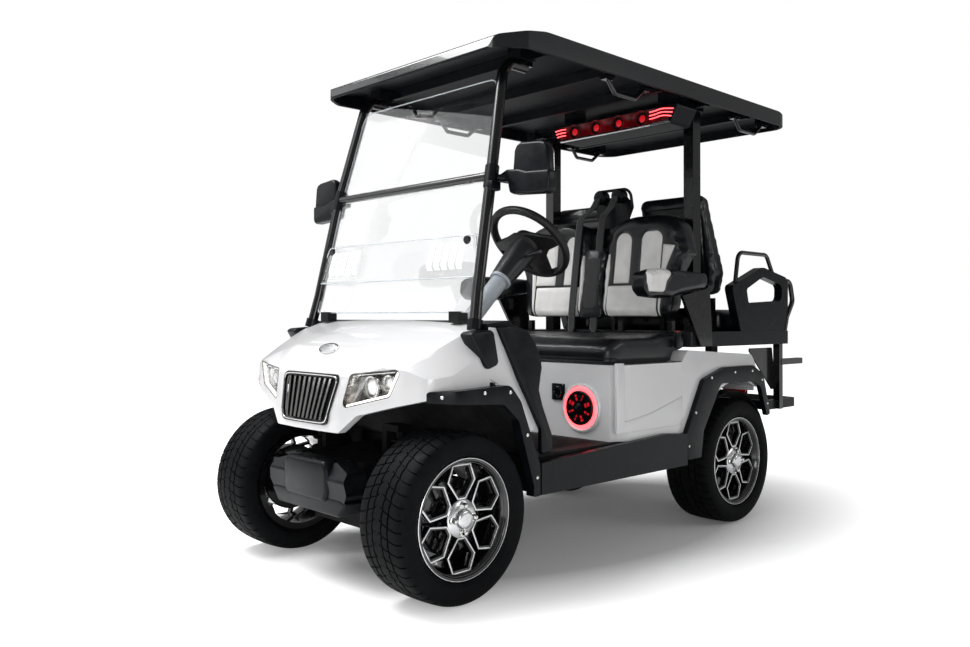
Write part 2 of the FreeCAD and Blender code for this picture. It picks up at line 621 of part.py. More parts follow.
tilt = math.radians(size.column_angle)
column_way = Vector(0, math.cos(tilt), math.sin(tilt))
wheel_centre = Vector(size.wheel_x, size.wheel_station, size.wheel_height)
column_top = wheel_centre - column_way * 45
column_foot = wheel_centre - column_way * 545
dash = dash.cut(rod(column_foot, column_top, size.column_radius + size.seat_gap))

shroud = Part.makeCone(42, 58, 185, column_top - column_way * 185, column_way)
stalk = rod(column_top - column_way * 50 + Vector(30, 0, 0), column_top - column_way * 60 + Vector(140, -10, 25), 6)
column = fused([rod(column_foot, column_top, size.column_radius), shroud, stalk])
piece("steering_column", [column])


def make_steering_wheel():
    """Rim, hub and three spokes, the lower one broad."""
    rim = Part.makeTorus(size.wheel_radius - size.grip_radius, size.grip_radius, Vector(0, 0, 0), Z)
    hub = Part.makeCone(45, 36, 40, Vector(0, 0, -44.5), Z)
    reach = size.wheel_radius - size.grip_radius - 4
    spokes = [box(30, reach, -16, 14, -14, -4), box(-reach, -30, -16, 14, -14, -4),
              slab("XY", [(-34, 30), (34, 30), (22, reach), (-22, reach)], -14, -4)]
    wheel = fused([rim, hub] + spokes)
    wheel.Placement = Placement(wheel_centre, Rotation(X, size.column_angle - 90))
    return wheel


piece("steering_wheel", [make_steering_wheel()])

PEDALS = ((185, 60), (300, 90))  # centre, width


def pedal(x, width):
    foot = Vector(x, fa + 300, 501) + Vector(0, 260, 222).normalize() * 0.3
    pad_centre = foot + Vector(0, 60, 70)
    arm = rod(foot, pad_centre, 7)
    plate = box(x - width / 2, x + width / 2, -5, 5, -45, 45)
    plate.Placement = Placement(Vector(0, pad_centre.y, pad_centre.z), Rotation(X, -30))
    return fused([arm, plate]).cut(toe_wedge)


toe_wedge = slab("YZ", [(fa + 352.4, size.floor_top + 0.2), (fa + 140.4, 700.2), (fa, 700.2), (fa, 300),
                        (fa + 352.4, 300)], -600, 600)
piece("pedals", [pedal(x, width) for x, width in PEDALS])

# ---------------------------------------------------------------- struts, glass, posts and roof

foot = Vector(size.strut_foot, hood_rear - 16, size.hood_top - 21)
knee = Vector(size.strut_foot - 14, hood_rear + 10, 1000)
middle = Vector(size.strut_middle, fa + 218, size.screen_split)
head = Vector(size.strut_head, fa + 313, size.roof_under - 60)
STRUT = (foot, knee, middle, head, Vector(size.strut_head, fa + 345, size.roof_under - 20),
         Vector(size.strut_head, fa + 430, size.roof_under - 20))
strut = tube(STRUT, size.strut_radius, 30)
strut_sleeve = tube(STRUT, size.strut_radius + size.seat_gap, 30)
cover = strut_cover.cut(cowl_shape(-size.skin_gap)).cut(strut_sleeve).cut(
    box(0, 552.3, hood_rear - 1 - size.seat_gap, hood_rear + 200, 600, 1000))
piece("cowl_trim", both([max(cover.Solids, key=lambda solid: solid.Volume), kick]))
strut = strut.cut(cowl_shape(-size.seat_gap))
for sleeve in both([strut_sleeve]):
    dash = dash.cut(sleeve)
piece("dashboard", [max(dash.Solids, key=lambda solid: solid.Volume)])
mount_pad = box(size.strut_head - 28, size.strut_head + 28, fa + 380, fa + 440, size.roof_under - 22,
                size.roof_under - 0.3)
piece("front_struts", both([fused([max(strut.Solids, key=lambda solid: solid.Volume), mount_pad])]))


def pane(low_left, high_left, thickness, inset):
    """Flat glass between the struts, from two points on its left edge."""
    low, high = Vector(*low_left), Vector(*high_left)
    corners = [Vector(low.x - inset, low.y, low.z), Vector(high.x - inset, high.y, high.z),
               Vector(inset - high.x, high.y, high.z), Vector(inset - low.x, low.y, low.z)]
    normal = (high - low).cross(X).normalize()
    face = Part.Face(Part.makePolygon(corners + corners[:1]))
    face.translate(normal * -thickness / 2)
    return face.extrude(normal * thickness)


def strut_point(height):
    """Centre of the left strut at a height."""
    for low, high in ((foot, knee), (knee, middle), (middle, head)):
        if height <= high.z:
            return low + (high - low) * ((height - low.z) / (high.z - low.z))
    return head


screen_gap = size.strut_radius - 4
sleeves = both([strut_sleeve])


def between_struts(glass):
    for sleeve in sleeves:
        glass = glass.cut(sleeve)
    return max(glass.Solids, key=lambda solid: solid.Volume)


glass_low = size.hood_top + 25
lower_pane = between_struts(pane(strut_point(glass_low), strut_point(size.screen_split - 17), 5, screen_gap))
upper_pane = between_struts(pane(strut_point(size.screen_split + 17), strut_point(size.roof_under - 75), 5, screen_gap))
vent_low, vent_high = strut_point(1050) + Vector(0, -14, 0), strut_point(1200) + Vector(0, -14, 0)
vent_pane = between_struts(pane(vent_low, vent_high, 5, screen_gap))
SLOTS = 5
for side in (-1, 1):
    for slot in range(SLOTS):
        x = side * (size.strut_middle - 70 - slot * 40)
        vent_pane = vent_pane.cut(box(x - 11, x + 11, fa + 50, fa + 250, 1088, 1168))
piece("windscreen", [lower_pane, upper_pane, vent_pane])

bar = rod((-size.strut_middle, middle.y, middle.z), (size.strut_middle, middle.y, middle.z), 15.7)
bar = between_struts(bar)
knobs = both([rod(vent_high + Vector(-60, -16, -20), vent_high + Vector(-60, 9, -17), 14).cut(vent_pane).cut(lower_pane)])
knobs = [max(knob.Solids, key=lambda solid: solid.Volume) for knob in knobs]
clips = both([box(strut_point(glass_low).x - 120, strut_point(glass_low).x - 70, hood_rear - 22, hood_rear + 22, 896, 935)])
clips = [clip.cut(lower_pane).cut(cowl_solid) for clip in clips]
clips = [max(clip.Solids, key=lambda solid: solid.Volume) for clip in clips]
piece("windscreen_fittings", [bar] + knobs + clips)

post_x = size.post_spacing / 2
deck_top = size.body_top + size.deck_depth + 9
deck_low = deck_top - size.deck_depth
post_low = deck_top + size.seat_gap
posts = both([box(post_x - size.post_width / 2, post_x + size.post_width / 2, size.post_station - size.post_depth / 2,
                  size.post_station + size.post_depth / 2, post_low, size.roof_under - size.seat_gap)])
belt_beam = box(-post_x, post_x, size.post_station - 15, size.post_station + 15, 1350, 1390)
low_beam = box(-post_x, post_x, size.post_station - 15, size.post_station + 15, 920, 960)
piece("rear_posts", [fused(posts + [belt_beam, low_beam])])

roof_top = size.roof_under + size.roof_depth
roof_low = size.roof_under - 150
ROOF_PLAN = ((-size.roof_half + 75, size.roof_front, 90), (size.roof_half - 75, size.roof_front, 90),
             (size.roof_half, size.roof_front + 95, 60), (size.roof_half, size.roof_rear, 110),
             (-size.roof_half, size.roof_rear, 110), (-size.roof_half, size.roof_front + 95, 60))
roof_side = [(size.roof_front, size.roof_under - 12, 6), (size.roof_front + 10, roof_top - 2, 16),
             (size.roof_front + 190, roof_top + size.roof_lift, 200), (size.roof_rear - 120, roof_top + size.roof_lift, 100),
             (size.roof_rear - 4, roof_top + 10, 16), (size.roof_rear, size.roof_under, 6)]
roof = slab("YZ", roof_side, -700, 700).common(slab("XY", ROOF_PLAN, roof_low, roof_top + 150))
roof_hollow = slab("YZ", [(size.roof_front - 50, roof_low), (size.roof_rear + 50, roof_low),
                          (size.roof_rear + 50, roof_top - 2), (size.roof_rear - 140, roof_top + 16),
                          (size.roof_front + 210, roof_top + 16), (size.roof_front - 50, roof_top - 30)], -700, 700)
roof_hollow = roof_hollow.common(slab("XY", ROOF_PLAN, roof_low, roof_top + 150, 14))
skin = roof_top + 18


def roof_block(x, y, half_x, half_y, low=size.roof_under):
    """Block from the roof's underside up into its skin, centred on x and y."""
    return box(x - half_x, x + half_x, y - half_y, y + half_y, low, skin)


HANDLES = ((1, -20), (1, 930), (-1, -20), (-1, 930))  # side, front foot
HANDLE_SPAN = 250
HANDLE_X = 500
SOUND_HANGERS = (-120, 420)
sound_y = 540
ROOF_RIBS = 5
blocks = both([roof_block(size.strut_head, fa + 410, 32, 40), roof_block(post_x, size.post_station, 35, 40)])
blocks += [roof_block(0, size.roof_front + 260 + rib * 350, 520, 12, size.roof_under + 6) for rib in range(ROOF_RIBS)]
blocks += [roof_block(side * HANDLE_X, start + at, 20, 26) for side, start in HANDLES for at in (0, HANDLE_SPAN)]
blocks += [roof_block(x, sound_y - 20, 25, 50) for x in SOUND_HANGERS]
piece("roof", [fused([roof.cut(roof_hollow)] + [block.common(roof) for block in blocks])])

handle_points = ((0, size.roof_under + 4), (48, size.roof_under - 50), (180, size.roof_under - 50),
                 (HANDLE_SPAN, size.roof_under + 4))


def roof_handle(side, start):
    x = side * HANDLE_X
    grip = tube([(x, start + along_y, height) for along_y, height in handle_points], 9, 20)
    ceiling = size.roof_under - size.seat_gap
    seats = [box(x - 14, x + 14, start + at - 22, start + at + 22, ceiling - 8, ceiling) for at in (0, HANDLE_SPAN)]
    return fused([grip] + seats).common(box(x - 50, x + 50, start - 60, start + 320, ceiling - 100, ceiling))


piece("roof_handles", [roof_handle(side, start) for side, start in HANDLES])

bar_under = size.roof_under - 95
cabinet = slab("XZ", [(-205, size.roof_under - 12, 10), (-160, bar_under, 18), (470, bar_under, 18),
                      (515, size.roof_under - 12, 10)], sound_y - 90, sound_y + 60)
for place in range(4):
    cone_x = 130 * place - 70
    cabinet = cabinet.cut(rod((cone_x, sound_y - 95, bar_under + 42), (cone_x, sound_y - 80, bar_under + 42), 34))
hangers = [box(x - 15, x + 15, sound_y - 60, sound_y + 20, size.roof_under - 12, size.roof_under - size.seat_gap)
           for x in SOUND_HANGERS]
piece("sound_bar", [fused([cabinet] + hangers)])


def mirror_arm():
    root = strut_point(1410) + Vector(size.strut_radius + 0.3, 0, 0)
    arm = rod(root, (545, fa + 255, 1410), 11)
    case = slab("XZ", [(540, 1340, 25), (545, 1512, 30), (708, 1500, 35), (712, 1328, 35)], fa + 245, fa + 290)
    bracket = rod(root - Vector(0, 0, 30), root + Vector(0, 0, 30), 16)
    return fused([arm, case, bracket]).cut(strut_sleeve)


piece("mirrors", both([max(mirror_arm().Solids, key=lambda solid: solid.Volume)]))

# ---------------------------------------------------------------- seats and deck

pod_face = size.pod_front - 0.3
speaker = Part.makeCylinder(97, 10, Vector(400, pod_face, 561), -Y).cut(
    Part.makeCylinder(78, 8, Vector(400, pod_face - 4, 561), -Y))
cone = Part.makeCone(74, 40, 3, Vector(400, pod_face - 4, 561), -Y)
speaker = fused([speaker, cone])
power = slab("XZ", [(246, 579, 6), (246, 654, 6), (318, 654, 6), (318, 579, 6)], pod_face - 8, pod_face)
piece("speakers", both([speaker]) + [power])


cushion_block = slab("YZ", [(size.pod_front + 5, size.pod_top + 0.3, 10), (size.pod_front - 5, 800, 30),
                            (size.pod_front + 60, 828, 60), (size.deck_front - 15, 845, 20),
                            (size.deck_front - 15, size.body_top + 0.3), (size.pod_rear - 2, size.body_top + 0.3),
                            (size.pod_rear - 2, size.pod_top + 0.3)],
                     -size.cushion_half, size.cushion_half)
cushion_plan = [(-size.cushion_half, size.pod_front - 10, 60), (size.cushion_half, size.pod_front - 10, 60),
                (size.cushion_half, size.deck_front, 30), (-size.cushion_half, size.deck_front, 30)]
piece("front_cushion", [cushion_block.common(slab("XY", cushion_plan, 700, 900))])

FRONT_BACK = ((492, 905, 20), (575, 900, 20), (648, 1390, 30), (560, 1404, 30))
BACK_FACE = ((14, 900, 40), (440, 900, 60), (476, 1120, 60), (519, 1210, 60), (485, 1404, 70), (40, 1404, 50))
front_back = slab("YZ", FRONT_BACK, 10, 530).common(slab("XZ", BACK_FACE, 400, 700))
front_legs = [box(x - 12, x + 12, 520, 545, deck_top + 0.3, 902) for x in (150, 420)]
legs = [leg.cut(front_back) for leg in front_legs]
piece("front_backs", both([front_back]))

REAR_BACK = [(815, 1005, 20), (905, 1010, 25), (795, 1500, 30), (735, 1495, 25)]
rear_back = slab("YZ", REAR_BACK, 50, 560).common(slab("XZ", [(66, 1000, 40), (450, 1000, 60), (497, 1120, 100),
                                                             (450, 1500, 60), (90, 1510, 60)], 600, 1000))
rear_legs = [box(x - 12, x + 12, 850, 875, deck_top + 0.3, 1020) for x in (150, 420)]
piece("rear_backs", both([rear_back]))

ARM_PAD = ((150, 1030, 30), (157, 1100, 30), (257, 1118, 60), (622, 1112, 25), (622, 1045, 30),
           (357, 998, 60), (187, 998, 30))
arm_pad = slab("YZ", ARM_PAD, 482, 554)
arm_bracket = slab("YZ", [(560, deck_low + 5), (650, deck_low + 5), (630, 1060), (400, 1040)],
                   size.deck_half + size.seat_gap, size.deck_half + 14)
arm_bracket = arm_bracket.cut(slab("YZ", ARM_PAD, 482, 554, -size.seat_gap))
piece("armrests", both([arm_pad]))
piece("seat_brackets", both([max(arm_bracket.Solids, key=lambda solid: solid.Volume)] + legs
                            + [leg.cut(rear_back) for leg in rear_legs]))

DECK = ((-470, size.deck_front), (470, size.deck_front), (size.deck_half, size.deck_front + 30, 20),
        (size.deck_half, size.deck_rear, 30), (-size.deck_half, size.deck_rear, 30),
        (-size.deck_half, size.deck_front + 30, 20))
piece("deck", [slab("XY", DECK, deck_low, deck_top).cut(slab("XY", [(-500, 560), (500, 560), (500, 1350), (-500, 1350)],
                                                               deck_low - 1, deck_top - 15))])
rear_cushion = slab("XY", [(-430, 925, 40), (430, 925, 40), (430, 1350, 60), (-430, 1350, 60)], deck_top + 0.3,
                    deck_top + 95)
piece("rear_cushion", [rear_cushion])

HIP = ((914, deck_top + 0.3, 10), (837, 1060, 20), (1114, 1159, 100), (1365, 1113, 40), (1364, 973, 60),
       (1325, deck_top + 0.3, 10))
HIP_HOLE = ((968, 1050, 15), (1120, 1112, 60), (1305, 1075, 30), (1300, 1000, 30), (985, 985, 15))
hip = slab("YZ", HIP, 499, 540).cut(slab("YZ", HIP_HOLE, 480, 560))
piece("hip_restraints", both([hip]))
arch_rail = tube([(518, 900, 1070), (518, 930, 1220), (518, 1190, 1220), (518, 1250, 1130)], 10, 45)
guard = tube([(518, 1362, 1100), (518, 1425, 1100), (518, 1455, 1000), (518, 1392, 920), (518, 1370, deck_top + 0.3)], 12, 40)
deck_block = box(400, 600, size.deck_front, size.deck_rear, 700, deck_top + size.seat_gap)
rails_cut = [arch_rail.cut(hip), guard.cut(hip).cut(deck_block)]
piece("guard_rails", both([max(item.Solids, key=lambda solid: solid.Volume) for item in rails_cut]))

step_x = size.step_half
post_y = size.step_front + 105
step_posts = both([box(step_x - 17, step_x + 17, post_y - 17, post_y + 17, size.step_top - size.step_depth - 0.0,
                       deck_low - 0.3),
                   box(step_x - 10, step_x + 20, post_y, post_y + 222, 682, 712)])
bracket_plates = both([slab("YZ", [(1112, 769, 10), (1347, 769, 10), (post_y + 5, 560, 10), (post_y - 30, 560, 10)],
                            step_x - 24, step_x - 17)])
step_beams = [box(-step_x, step_x, post_y - 15, post_y + 15, size.step_top - size.step_depth,
                  size.step_top - size.step_depth + 25),
              box(-rail_x, -rail_x + 30, frame_rear + 0.3, post_y, size.rail_top - 40, size.step_top - 20),
              box(rail_x - 30, rail_x, frame_rear + 0.3, post_y, size.rail_top - 40, size.step_top - 20)]
step_frame = fused(step_posts + bracket_plates + step_beams)
tread = slab("XY", [(-step_x, size.step_front, 20), (step_x, size.step_front, 20), (step_x, size.step_rear, 40),
                    (-step_x, size.step_rear, 40)], size.step_top - size.step_depth, size.step_top)
piece("step_frame", [step_frame])
piece("footrest", [max(tread.cut(step_frame).Solids, key=lambda solid: solid.Volume)])
tail_lamp = slab("XZ", [(380, 560, 10), (380, 640, 10), (500, 640, 10), (500, 560, 10)], size.body_rear - 20,
                 size.body_rear + 12)
piece("tail_lamps", both([tail_lamp.cut(rear_shape(-size.seat_gap))]))

belt_face = size.post_station - 15 - size.seat_gap
reels = [rod(Vector(x, belt_face - 44, 1502), Vector(x, belt_face - 4, 1502), 32) for x in (-70, 38)]
belt_plate = slab("XZ", [(-100, 1352, 8), (-118, 1480, 20), (-100, 1500, 8), (68, 1500, 8), (112, 1450, 20),
                         (68, 1352, 8)], belt_face - 6, belt_face)
hoop = tube([(-112, belt_face - 6, 1470), (-112, belt_face - 24, 1532), (104, belt_face - 24, 1532),
             (104, belt_face - 6, 1446)], 7, 40)
piece("seat_belts", [fused(reels + [belt_plate, hoop])])


# ---------------------------------------------------------------- export

document.recompute()
for item in document.Objects:
    if "Invalid" in item.State or "Error" in item.State:
        raise RuntimeError(f"{item.Name}: {item.State}")
os.makedirs("parts", exist_ok=True)
for item in subparts:
    if item.Shape.isNull() or not item.Shape.isValid():
        raise RuntimeError(f"{item.Label}: bad shape")
    item.Shape.exportStep(f"parts/{item.Label}.step")
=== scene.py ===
"""Builds the visible model of a four-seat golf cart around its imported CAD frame."""

import math
from collections import namedtuple

import bmesh
import bpy
from bpy.props import FloatProperty, FloatVectorProperty, IntProperty, PointerProperty
from mathutils import Matrix, Vector


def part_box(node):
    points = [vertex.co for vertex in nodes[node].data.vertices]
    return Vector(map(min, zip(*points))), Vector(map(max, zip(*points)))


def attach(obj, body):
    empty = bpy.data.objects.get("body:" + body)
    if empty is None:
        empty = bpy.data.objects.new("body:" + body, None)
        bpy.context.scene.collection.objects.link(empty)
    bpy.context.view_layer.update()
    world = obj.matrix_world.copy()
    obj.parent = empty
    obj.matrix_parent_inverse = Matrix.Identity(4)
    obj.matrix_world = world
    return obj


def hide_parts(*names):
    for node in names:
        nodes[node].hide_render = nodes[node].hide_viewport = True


bl_info = {
    "name": "Golf Cart Builder",
    "version": (1, 0, 0),
    "blender": (4, 5, 0),
    "location": "View3D > Sidebar > Golf Cart",
    "description": "Builds the visible pieces of a four-seat golf cart around its CAD frame",
    "category": "Add Mesh",
}

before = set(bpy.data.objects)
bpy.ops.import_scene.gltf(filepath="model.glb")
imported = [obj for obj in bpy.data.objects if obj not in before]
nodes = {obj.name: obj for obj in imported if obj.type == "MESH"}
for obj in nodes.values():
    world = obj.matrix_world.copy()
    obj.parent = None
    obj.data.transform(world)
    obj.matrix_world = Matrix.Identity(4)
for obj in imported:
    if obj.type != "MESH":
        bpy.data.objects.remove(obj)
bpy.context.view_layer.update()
MM = 0.001


def middle(node):
    """Middle of a CAD node's box."""
    low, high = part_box(node)
    return (low + high) / 2


AXLES_MIDDLE = (middle("tyre_fl").y + middle("tyre_rl").y) / 2 / MM


def at(x, y, z):
    """A point in millimetres, with y from halfway between the axles, as metres in the frame."""
    return Vector((x, y + AXLES_MIDDLE, z)) * MM


def in_mm(place):
    """The reverse of at: a place in the frame in metres as millimetres."""
    return place / MM - Vector((0, AXLES_MIDDLE, 0))


# ---------------------------------------------------------------- helpers for modelling

def deselect():
    if bpy.context.object and bpy.context.object.mode != "OBJECT":
        bpy.ops.object.mode_set(mode="OBJECT")
    bpy.ops.object.select_all(action="DESELECT")


def choose(piece):
    """Make one object the only selected and active one."""
    deselect()
    piece.select_set(True)
    bpy.context.view_layer.objects.active = piece
    return piece


def started(name):
    """Name the primitive that was just added and put its place in its mesh."""
    piece = bpy.context.object
    piece.name = piece.data.name = name
    bpy.ops.object.transform_apply(location=True, rotation=True, scale=True)
    return choose(piece)


class Edit:
    """Edit mode on one piece with nothing selected; picks are made by place or normal."""
    KINDS = {"verts": "VERT", "edges": "EDGE", "faces": "FACE"}

    def __init__(self, piece):
        self.piece = piece

    def __enter__(self):
        choose(self.piece)
        bpy.ops.object.mode_set(mode="EDIT")
        bpy.ops.mesh.select_mode(type="FACE")
        bpy.ops.mesh.select_all(action="DESELECT")
        return self

    def __exit__(self, *fault):
        bpy.ops.object.mode_set(mode="OBJECT")

    def pick(self, kind, rule):
        """Select the vertices, edges or faces that the rule accepts, and nothing else."""
        bpy.ops.mesh.select_mode(type=self.KINDS[kind])
        bpy.ops.mesh.select_all(action="DESELECT")
        mesh = bmesh.from_edit_mesh(self.piece.data)
        found = [item for item in getattr(mesh, kind) if rule(item)]
        for item in found:
            item.select_set(True)
        mesh.select_flush_mode()
        bmesh.update_edit_mesh(self.piece.data)
        if not found:
            raise RuntimeError(f"{self.piece.name}: nothing to pick")


def modify(piece, kind, **settings):
    """Add a modifier and apply it."""
    choose(piece)
    modifier = piece.modifiers.new(kind.lower(), kind)
    for key, value in settings.items():
        setattr(modifier, key, value)
    bpy.ops.object.modifier_apply(modifier=modifier.name)
    return piece


def bevelled(piece, width, segments=2, limit=30):
    """Bevel the edges that are sharper than a limit in degrees; the width is in millimetres."""
    if width:
        modify(piece, "BEVEL", width=width * MM, segments=segments, limit_method="ANGLE",
               angle_limit=math.radians(limit))
    return piece


def subdivided(piece, levels):
    return modify(piece, "SUBSURF", levels=levels, render_levels=levels)


def outward(piece, merge=0.00001):
    """Merge doubles and turn all faces outwards."""
    choose(piece)
    bpy.ops.object.mode_set(mode="EDIT")
    bpy.ops.mesh.select_all(action="SELECT")
    bpy.ops.mesh.remove_doubles(threshold=merge)
    bpy.ops.mesh.normals_make_consistent(inside=False)
    bpy.ops.object.mode_set(mode="OBJECT")
    return piece


def smooth(piece, degrees=35):
    choose(piece)
    bpy.ops.object.shade_smooth_by_angle(angle=math.radians(degrees))
    return piece


AXES = {"XY": 2, "XZ": 1, "YZ": 0}  # the axis across each plane


def outline(name, corners, plane, level):
    """A flat face with the given corners in millimetres."""
    deselect()
    bpy.ops.mesh.primitive_circle_add(vertices=len(corners), radius=1, fill_type="NGON")
    piece = started(name)
    for vertex, corner in zip(piece.data.vertices, corners):
        place = list(corner)
        place.insert(AXES[plane], level)
        vertex.co = at(*place)
    return piece


def plate(name, corners, plane, low, high, bevel=0.0, segments=2):
    """An outline extruded between two levels in millimetres, with its edges bevelled."""
    piece = outline(name, corners, plane, low)
    with Edit(piece):
        bpy.ops.mesh.select_all(action="SELECT")
        shift = [0, 0, 0]
        shift[AXES[plane]] = (high - low) * MM
        bpy.ops.mesh.extrude_region_move(TRANSFORM_OT_translate={"value": shift})
    outward(piece)
    return smooth(bevelled(piece, bevel, segments))


def block(name, low, high, bevel):
    """A box between two corners in millimetres, with its edges bevelled."""
    low, high = at(*low), at(*high)
    deselect()
    bpy.ops.mesh.primitive_cube_add(size=1, location=(low + high) / 2, scale=high - low)
    return smooth(bevelled(started(name), bevel))


def turned(name, profile, axis, centre, steps=64):
    """A closed profile of (along the axis, radius) in millimetres, spun once round the axis."""
    deselect()
    bpy.ops.mesh.primitive_circle_add(vertices=len(profile), radius=1, fill_type="NOTHING")
    piece = started(name)
    centre, direction = at(*centre), Vector(axis).normalized()
    side = direction.orthogonal().normalized()
    for vertex, (along, radius) in zip(piece.data.vertices, profile):
        vertex.co = centre + (direction * along + side * radius) * MM
    with Edit(piece):
        bpy.ops.mesh.select_all(action="SELECT")
        bpy.ops.mesh.spin(steps=steps, angle=2 * math.pi, center=centre, axis=direction)
    return smooth(outward(piece))


def tube(name, points, radius, closed=False, turns=3, order=3):
    """A round bar along a smooth line through millimetre points, made a mesh."""
    deselect()
    bpy.ops.curve.primitive_nurbs_path_add()
    bar = bpy.context.object
    bar.data.splines.clear()
    spline = bar.data.splines.new("NURBS")
    spline.points.add(len(points) - 1)
    for point, place in zip(spline.points, points):
        point.co = (*at(*place), 1)
    spline.order_u, spline.use_endpoint_u, spline.use_cyclic_u = order, not closed, closed
    spline.resolution_u = turns * 4
    bar.data.bevel_depth, bar.data.bevel_resolution, bar.data.use_fill_caps = radius * MM, 3, True
    choose(bar)
    bpy.ops.object.convert(target="MESH")
    return smooth(outward(started(name)), 50)


def ribbon(name, points, width_axis, width, thickness):
    """A flat strap in millimetres along points; width_axis gives its width direction."""
    half = Vector(width_axis).normalized() * width / 2
    deselect()
    bpy.ops.mesh.primitive_grid_add(x_subdivisions=len(points) - 1, y_subdivisions=1, size=2)
    strap = started(name)
    count = len(points)
    for index, vertex in enumerate(strap.data.vertices):
        place = Vector(points[index % count]) + (half if index >= count else -half)
        vertex.co = at(*place)
    modify(strap, "SOLIDIFY", thickness=thickness * MM, offset=0)
    return smooth(strap, 40)


def joined(name, pieces):
    """Several meshes as one piece."""
    deselect()
    for piece in pieces:
        piece.select_set(True)
    bpy.context.view_layer.objects.active = pieces[0]
    if len(pieces) > 1:
        bpy.ops.object.join()
    whole = bpy.context.object
    whole.name = whole.data.name = name
    return choose(whole)


def copied(piece, name, matrix=None):
    """A copy with its own mesh; a mirroring matrix also turns the faces back."""
    other = piece.copy()
    other.data = piece.data.copy()
    other.name = other.data.name = name
    bpy.context.scene.collection.objects.link(other)
    if matrix is not None:
        other.data.transform(matrix)
        if matrix.determinant() < 0:
            other.data.flip_normals()
    return other


MIRROR = Matrix.Scale(-1, 4, (1, 0, 0))


def bare_copy(piece, name, merge):
    """A form as a piece of its own, without parent and notes, with doubles merged."""
    other = copied(piece, name)
    other.parent = None
    for key in list(other.keys()):
        del other[key]
    return outward(other, merge)


def carve(piece, cutter):
    """Cut a form out of the piece; the cutter is removed."""
    modify(piece, "BOOLEAN", object=cutter, operation="DIFFERENCE", solver="EXACT")
    bpy.data.objects.remove(cutter)
    return piece


def done(piece, make, body="chassis", slot=None, stands_for=()):
    """Give a finished piece its material and the body that it rides; the slot is not used."""
    piece.data.materials.clear()
    piece.data.materials.append(finish(make))
    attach(piece, body)
    if stands_for:
        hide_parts(*stands_for)
    return piece

# ---------------------------------------------------------------- materials

NOISE, CELLS, WAVES = "ShaderNodeTexNoise", "ShaderNodeTexVoronoi", "ShaderNodeTexWave"
RANGE, BLEND, MATHS = "ShaderNodeMapRange", "ShaderNodeMix", "ShaderNodeMath"
SOFT = {"feature": "SMOOTH_F1"}  # cells with rounded walls, as in leather grain
WAVE = 6.28  # a wave texture repeats this many times its size
Look = namedtuple("Look", "material tree shader place")


def linear(hex_code):
    """An sRGB colour such as B4B4B0 as linear RGBA."""
    values = [int(hex_code[i:i + 2], 16) / 255 for i in (0, 2, 4)]
    return tuple(v / 12.92 if v <= 0.04045 else ((v + 0.055) / 1.055) ** 2.4 for v in values) + (1.0,)


def add(tree, kind, inputs=None, **settings):
    """Add a node, set its settings, and set or link its inputs."""
    item = tree.nodes.new(kind)
    for key, value in settings.items():
        setattr(item, key, value)
    for key, value in (inputs or {}).items():
        if isinstance(value, bpy.types.NodeSocket):
            tree.links.new(value, item.inputs[key])
        else:
            item.inputs[key].default_value = value
    return item


def principled(name, base, **sockets):
    """A new material: its tree, its Principled shader with constants, and object coordinates in metres."""
    material = bpy.data.materials.new(name)
    material.use_nodes = True
    tree = material.node_tree
    tree.nodes.clear()
    constants = {key.replace("_", " "): value for key, value in sockets.items()}
    shader = add(tree, "ShaderNodeBsdfPrincipled", {"Base Color": linear(base), **constants})
    add(tree, "ShaderNodeOutputMaterial", {0: shader.outputs[0]})
    return Look(material, tree, shader, add(tree, "ShaderNodeTexCoord").outputs["Object"])


def dress(look, *layers):
    """Make sockets of the shader follow textures.

    A layer is (socket, texture, range or None, low, high), where low and high are sRGB colours or numbers. For
    "Normal" it is (socket, texture, depth in millimetres), laid over the relief already there. A texture is a
    socket, or (kind, size in millimetres, inputs, settings).
    """
    tree = look.tree
    for name, texture, *values in layers:
        if isinstance(texture, tuple):
            kind, size, inputs, settings = (*texture, {}, {})[:4]
            item = add(tree, kind, {"Vector": look.place, "Scale": 1000 / size, **inputs}, **settings)
            texture = item.outputs["Distance" if kind == CELLS else "Fac"]
        socket = look.shader.inputs[name]
        if name == "Normal":
            below = {"Normal": socket.links[0].from_socket} if socket.is_linked else {}
            texture = add(tree, "ShaderNodeBump", {"Height": texture, "Distance": values[0] * MM, "Strength": 1.0,
                                                   **below}).outputs[0]
        else:
            span, low, high = values
            tint = isinstance(low, str)
            if span:
                texture = add(tree, RANGE, {
                    "Value": texture, "From Min": span[0], "From Max": span[1],
                    "To Min": 0 if tint else low, "To Max": 1 if tint else high}).outputs[0]
            if tint:
                texture = add(tree, BLEND, {0: texture, 6: linear(low), 7: linear(high)},
                              data_type="RGBA").outputs[2]
        tree.links.new(texture, socket)
    return look


def pearl_enamel():
    """Pearl-white automotive enamel under clear coat: fine mica flake, faint orange peel."""
    look = principled("pearl_enamel", "DFDFE0", Metallic=0.05, Roughness=0.34, Coat_Weight=0.9, Coat_Roughness=0.05)
    # mica flake is 0.05 mm; drawn at 1.2 mm so that it shows
    flake = add(look.tree, CELLS, {"Vector": look.place, "Scale": 1000 / 1.2}).outputs["Distance"]
    glint = add(look.tree, RANGE, {"Value": flake, "To Max": 0.35}).outputs[0]
    drift = add(look.tree, NOISE, {"Vector": look.place, "Scale": 1000 / 260, "Detail": 2}).outputs[0]
    cloud = add(look.tree, RANGE, {"Value": drift, "From Min": 0.3, "From Max": 0.7, "To Max": 0.5}).outputs[0]
    shade = add(look.tree, MATHS, {0: glint, 1: cloud}, operation="ADD").outputs[0]
    return dress(look, ("Base Color", shade, None, "E0E0E1", "D3D3D5"), ("Normal", (NOISE, 7, {"Detail": 1}), 0.012))


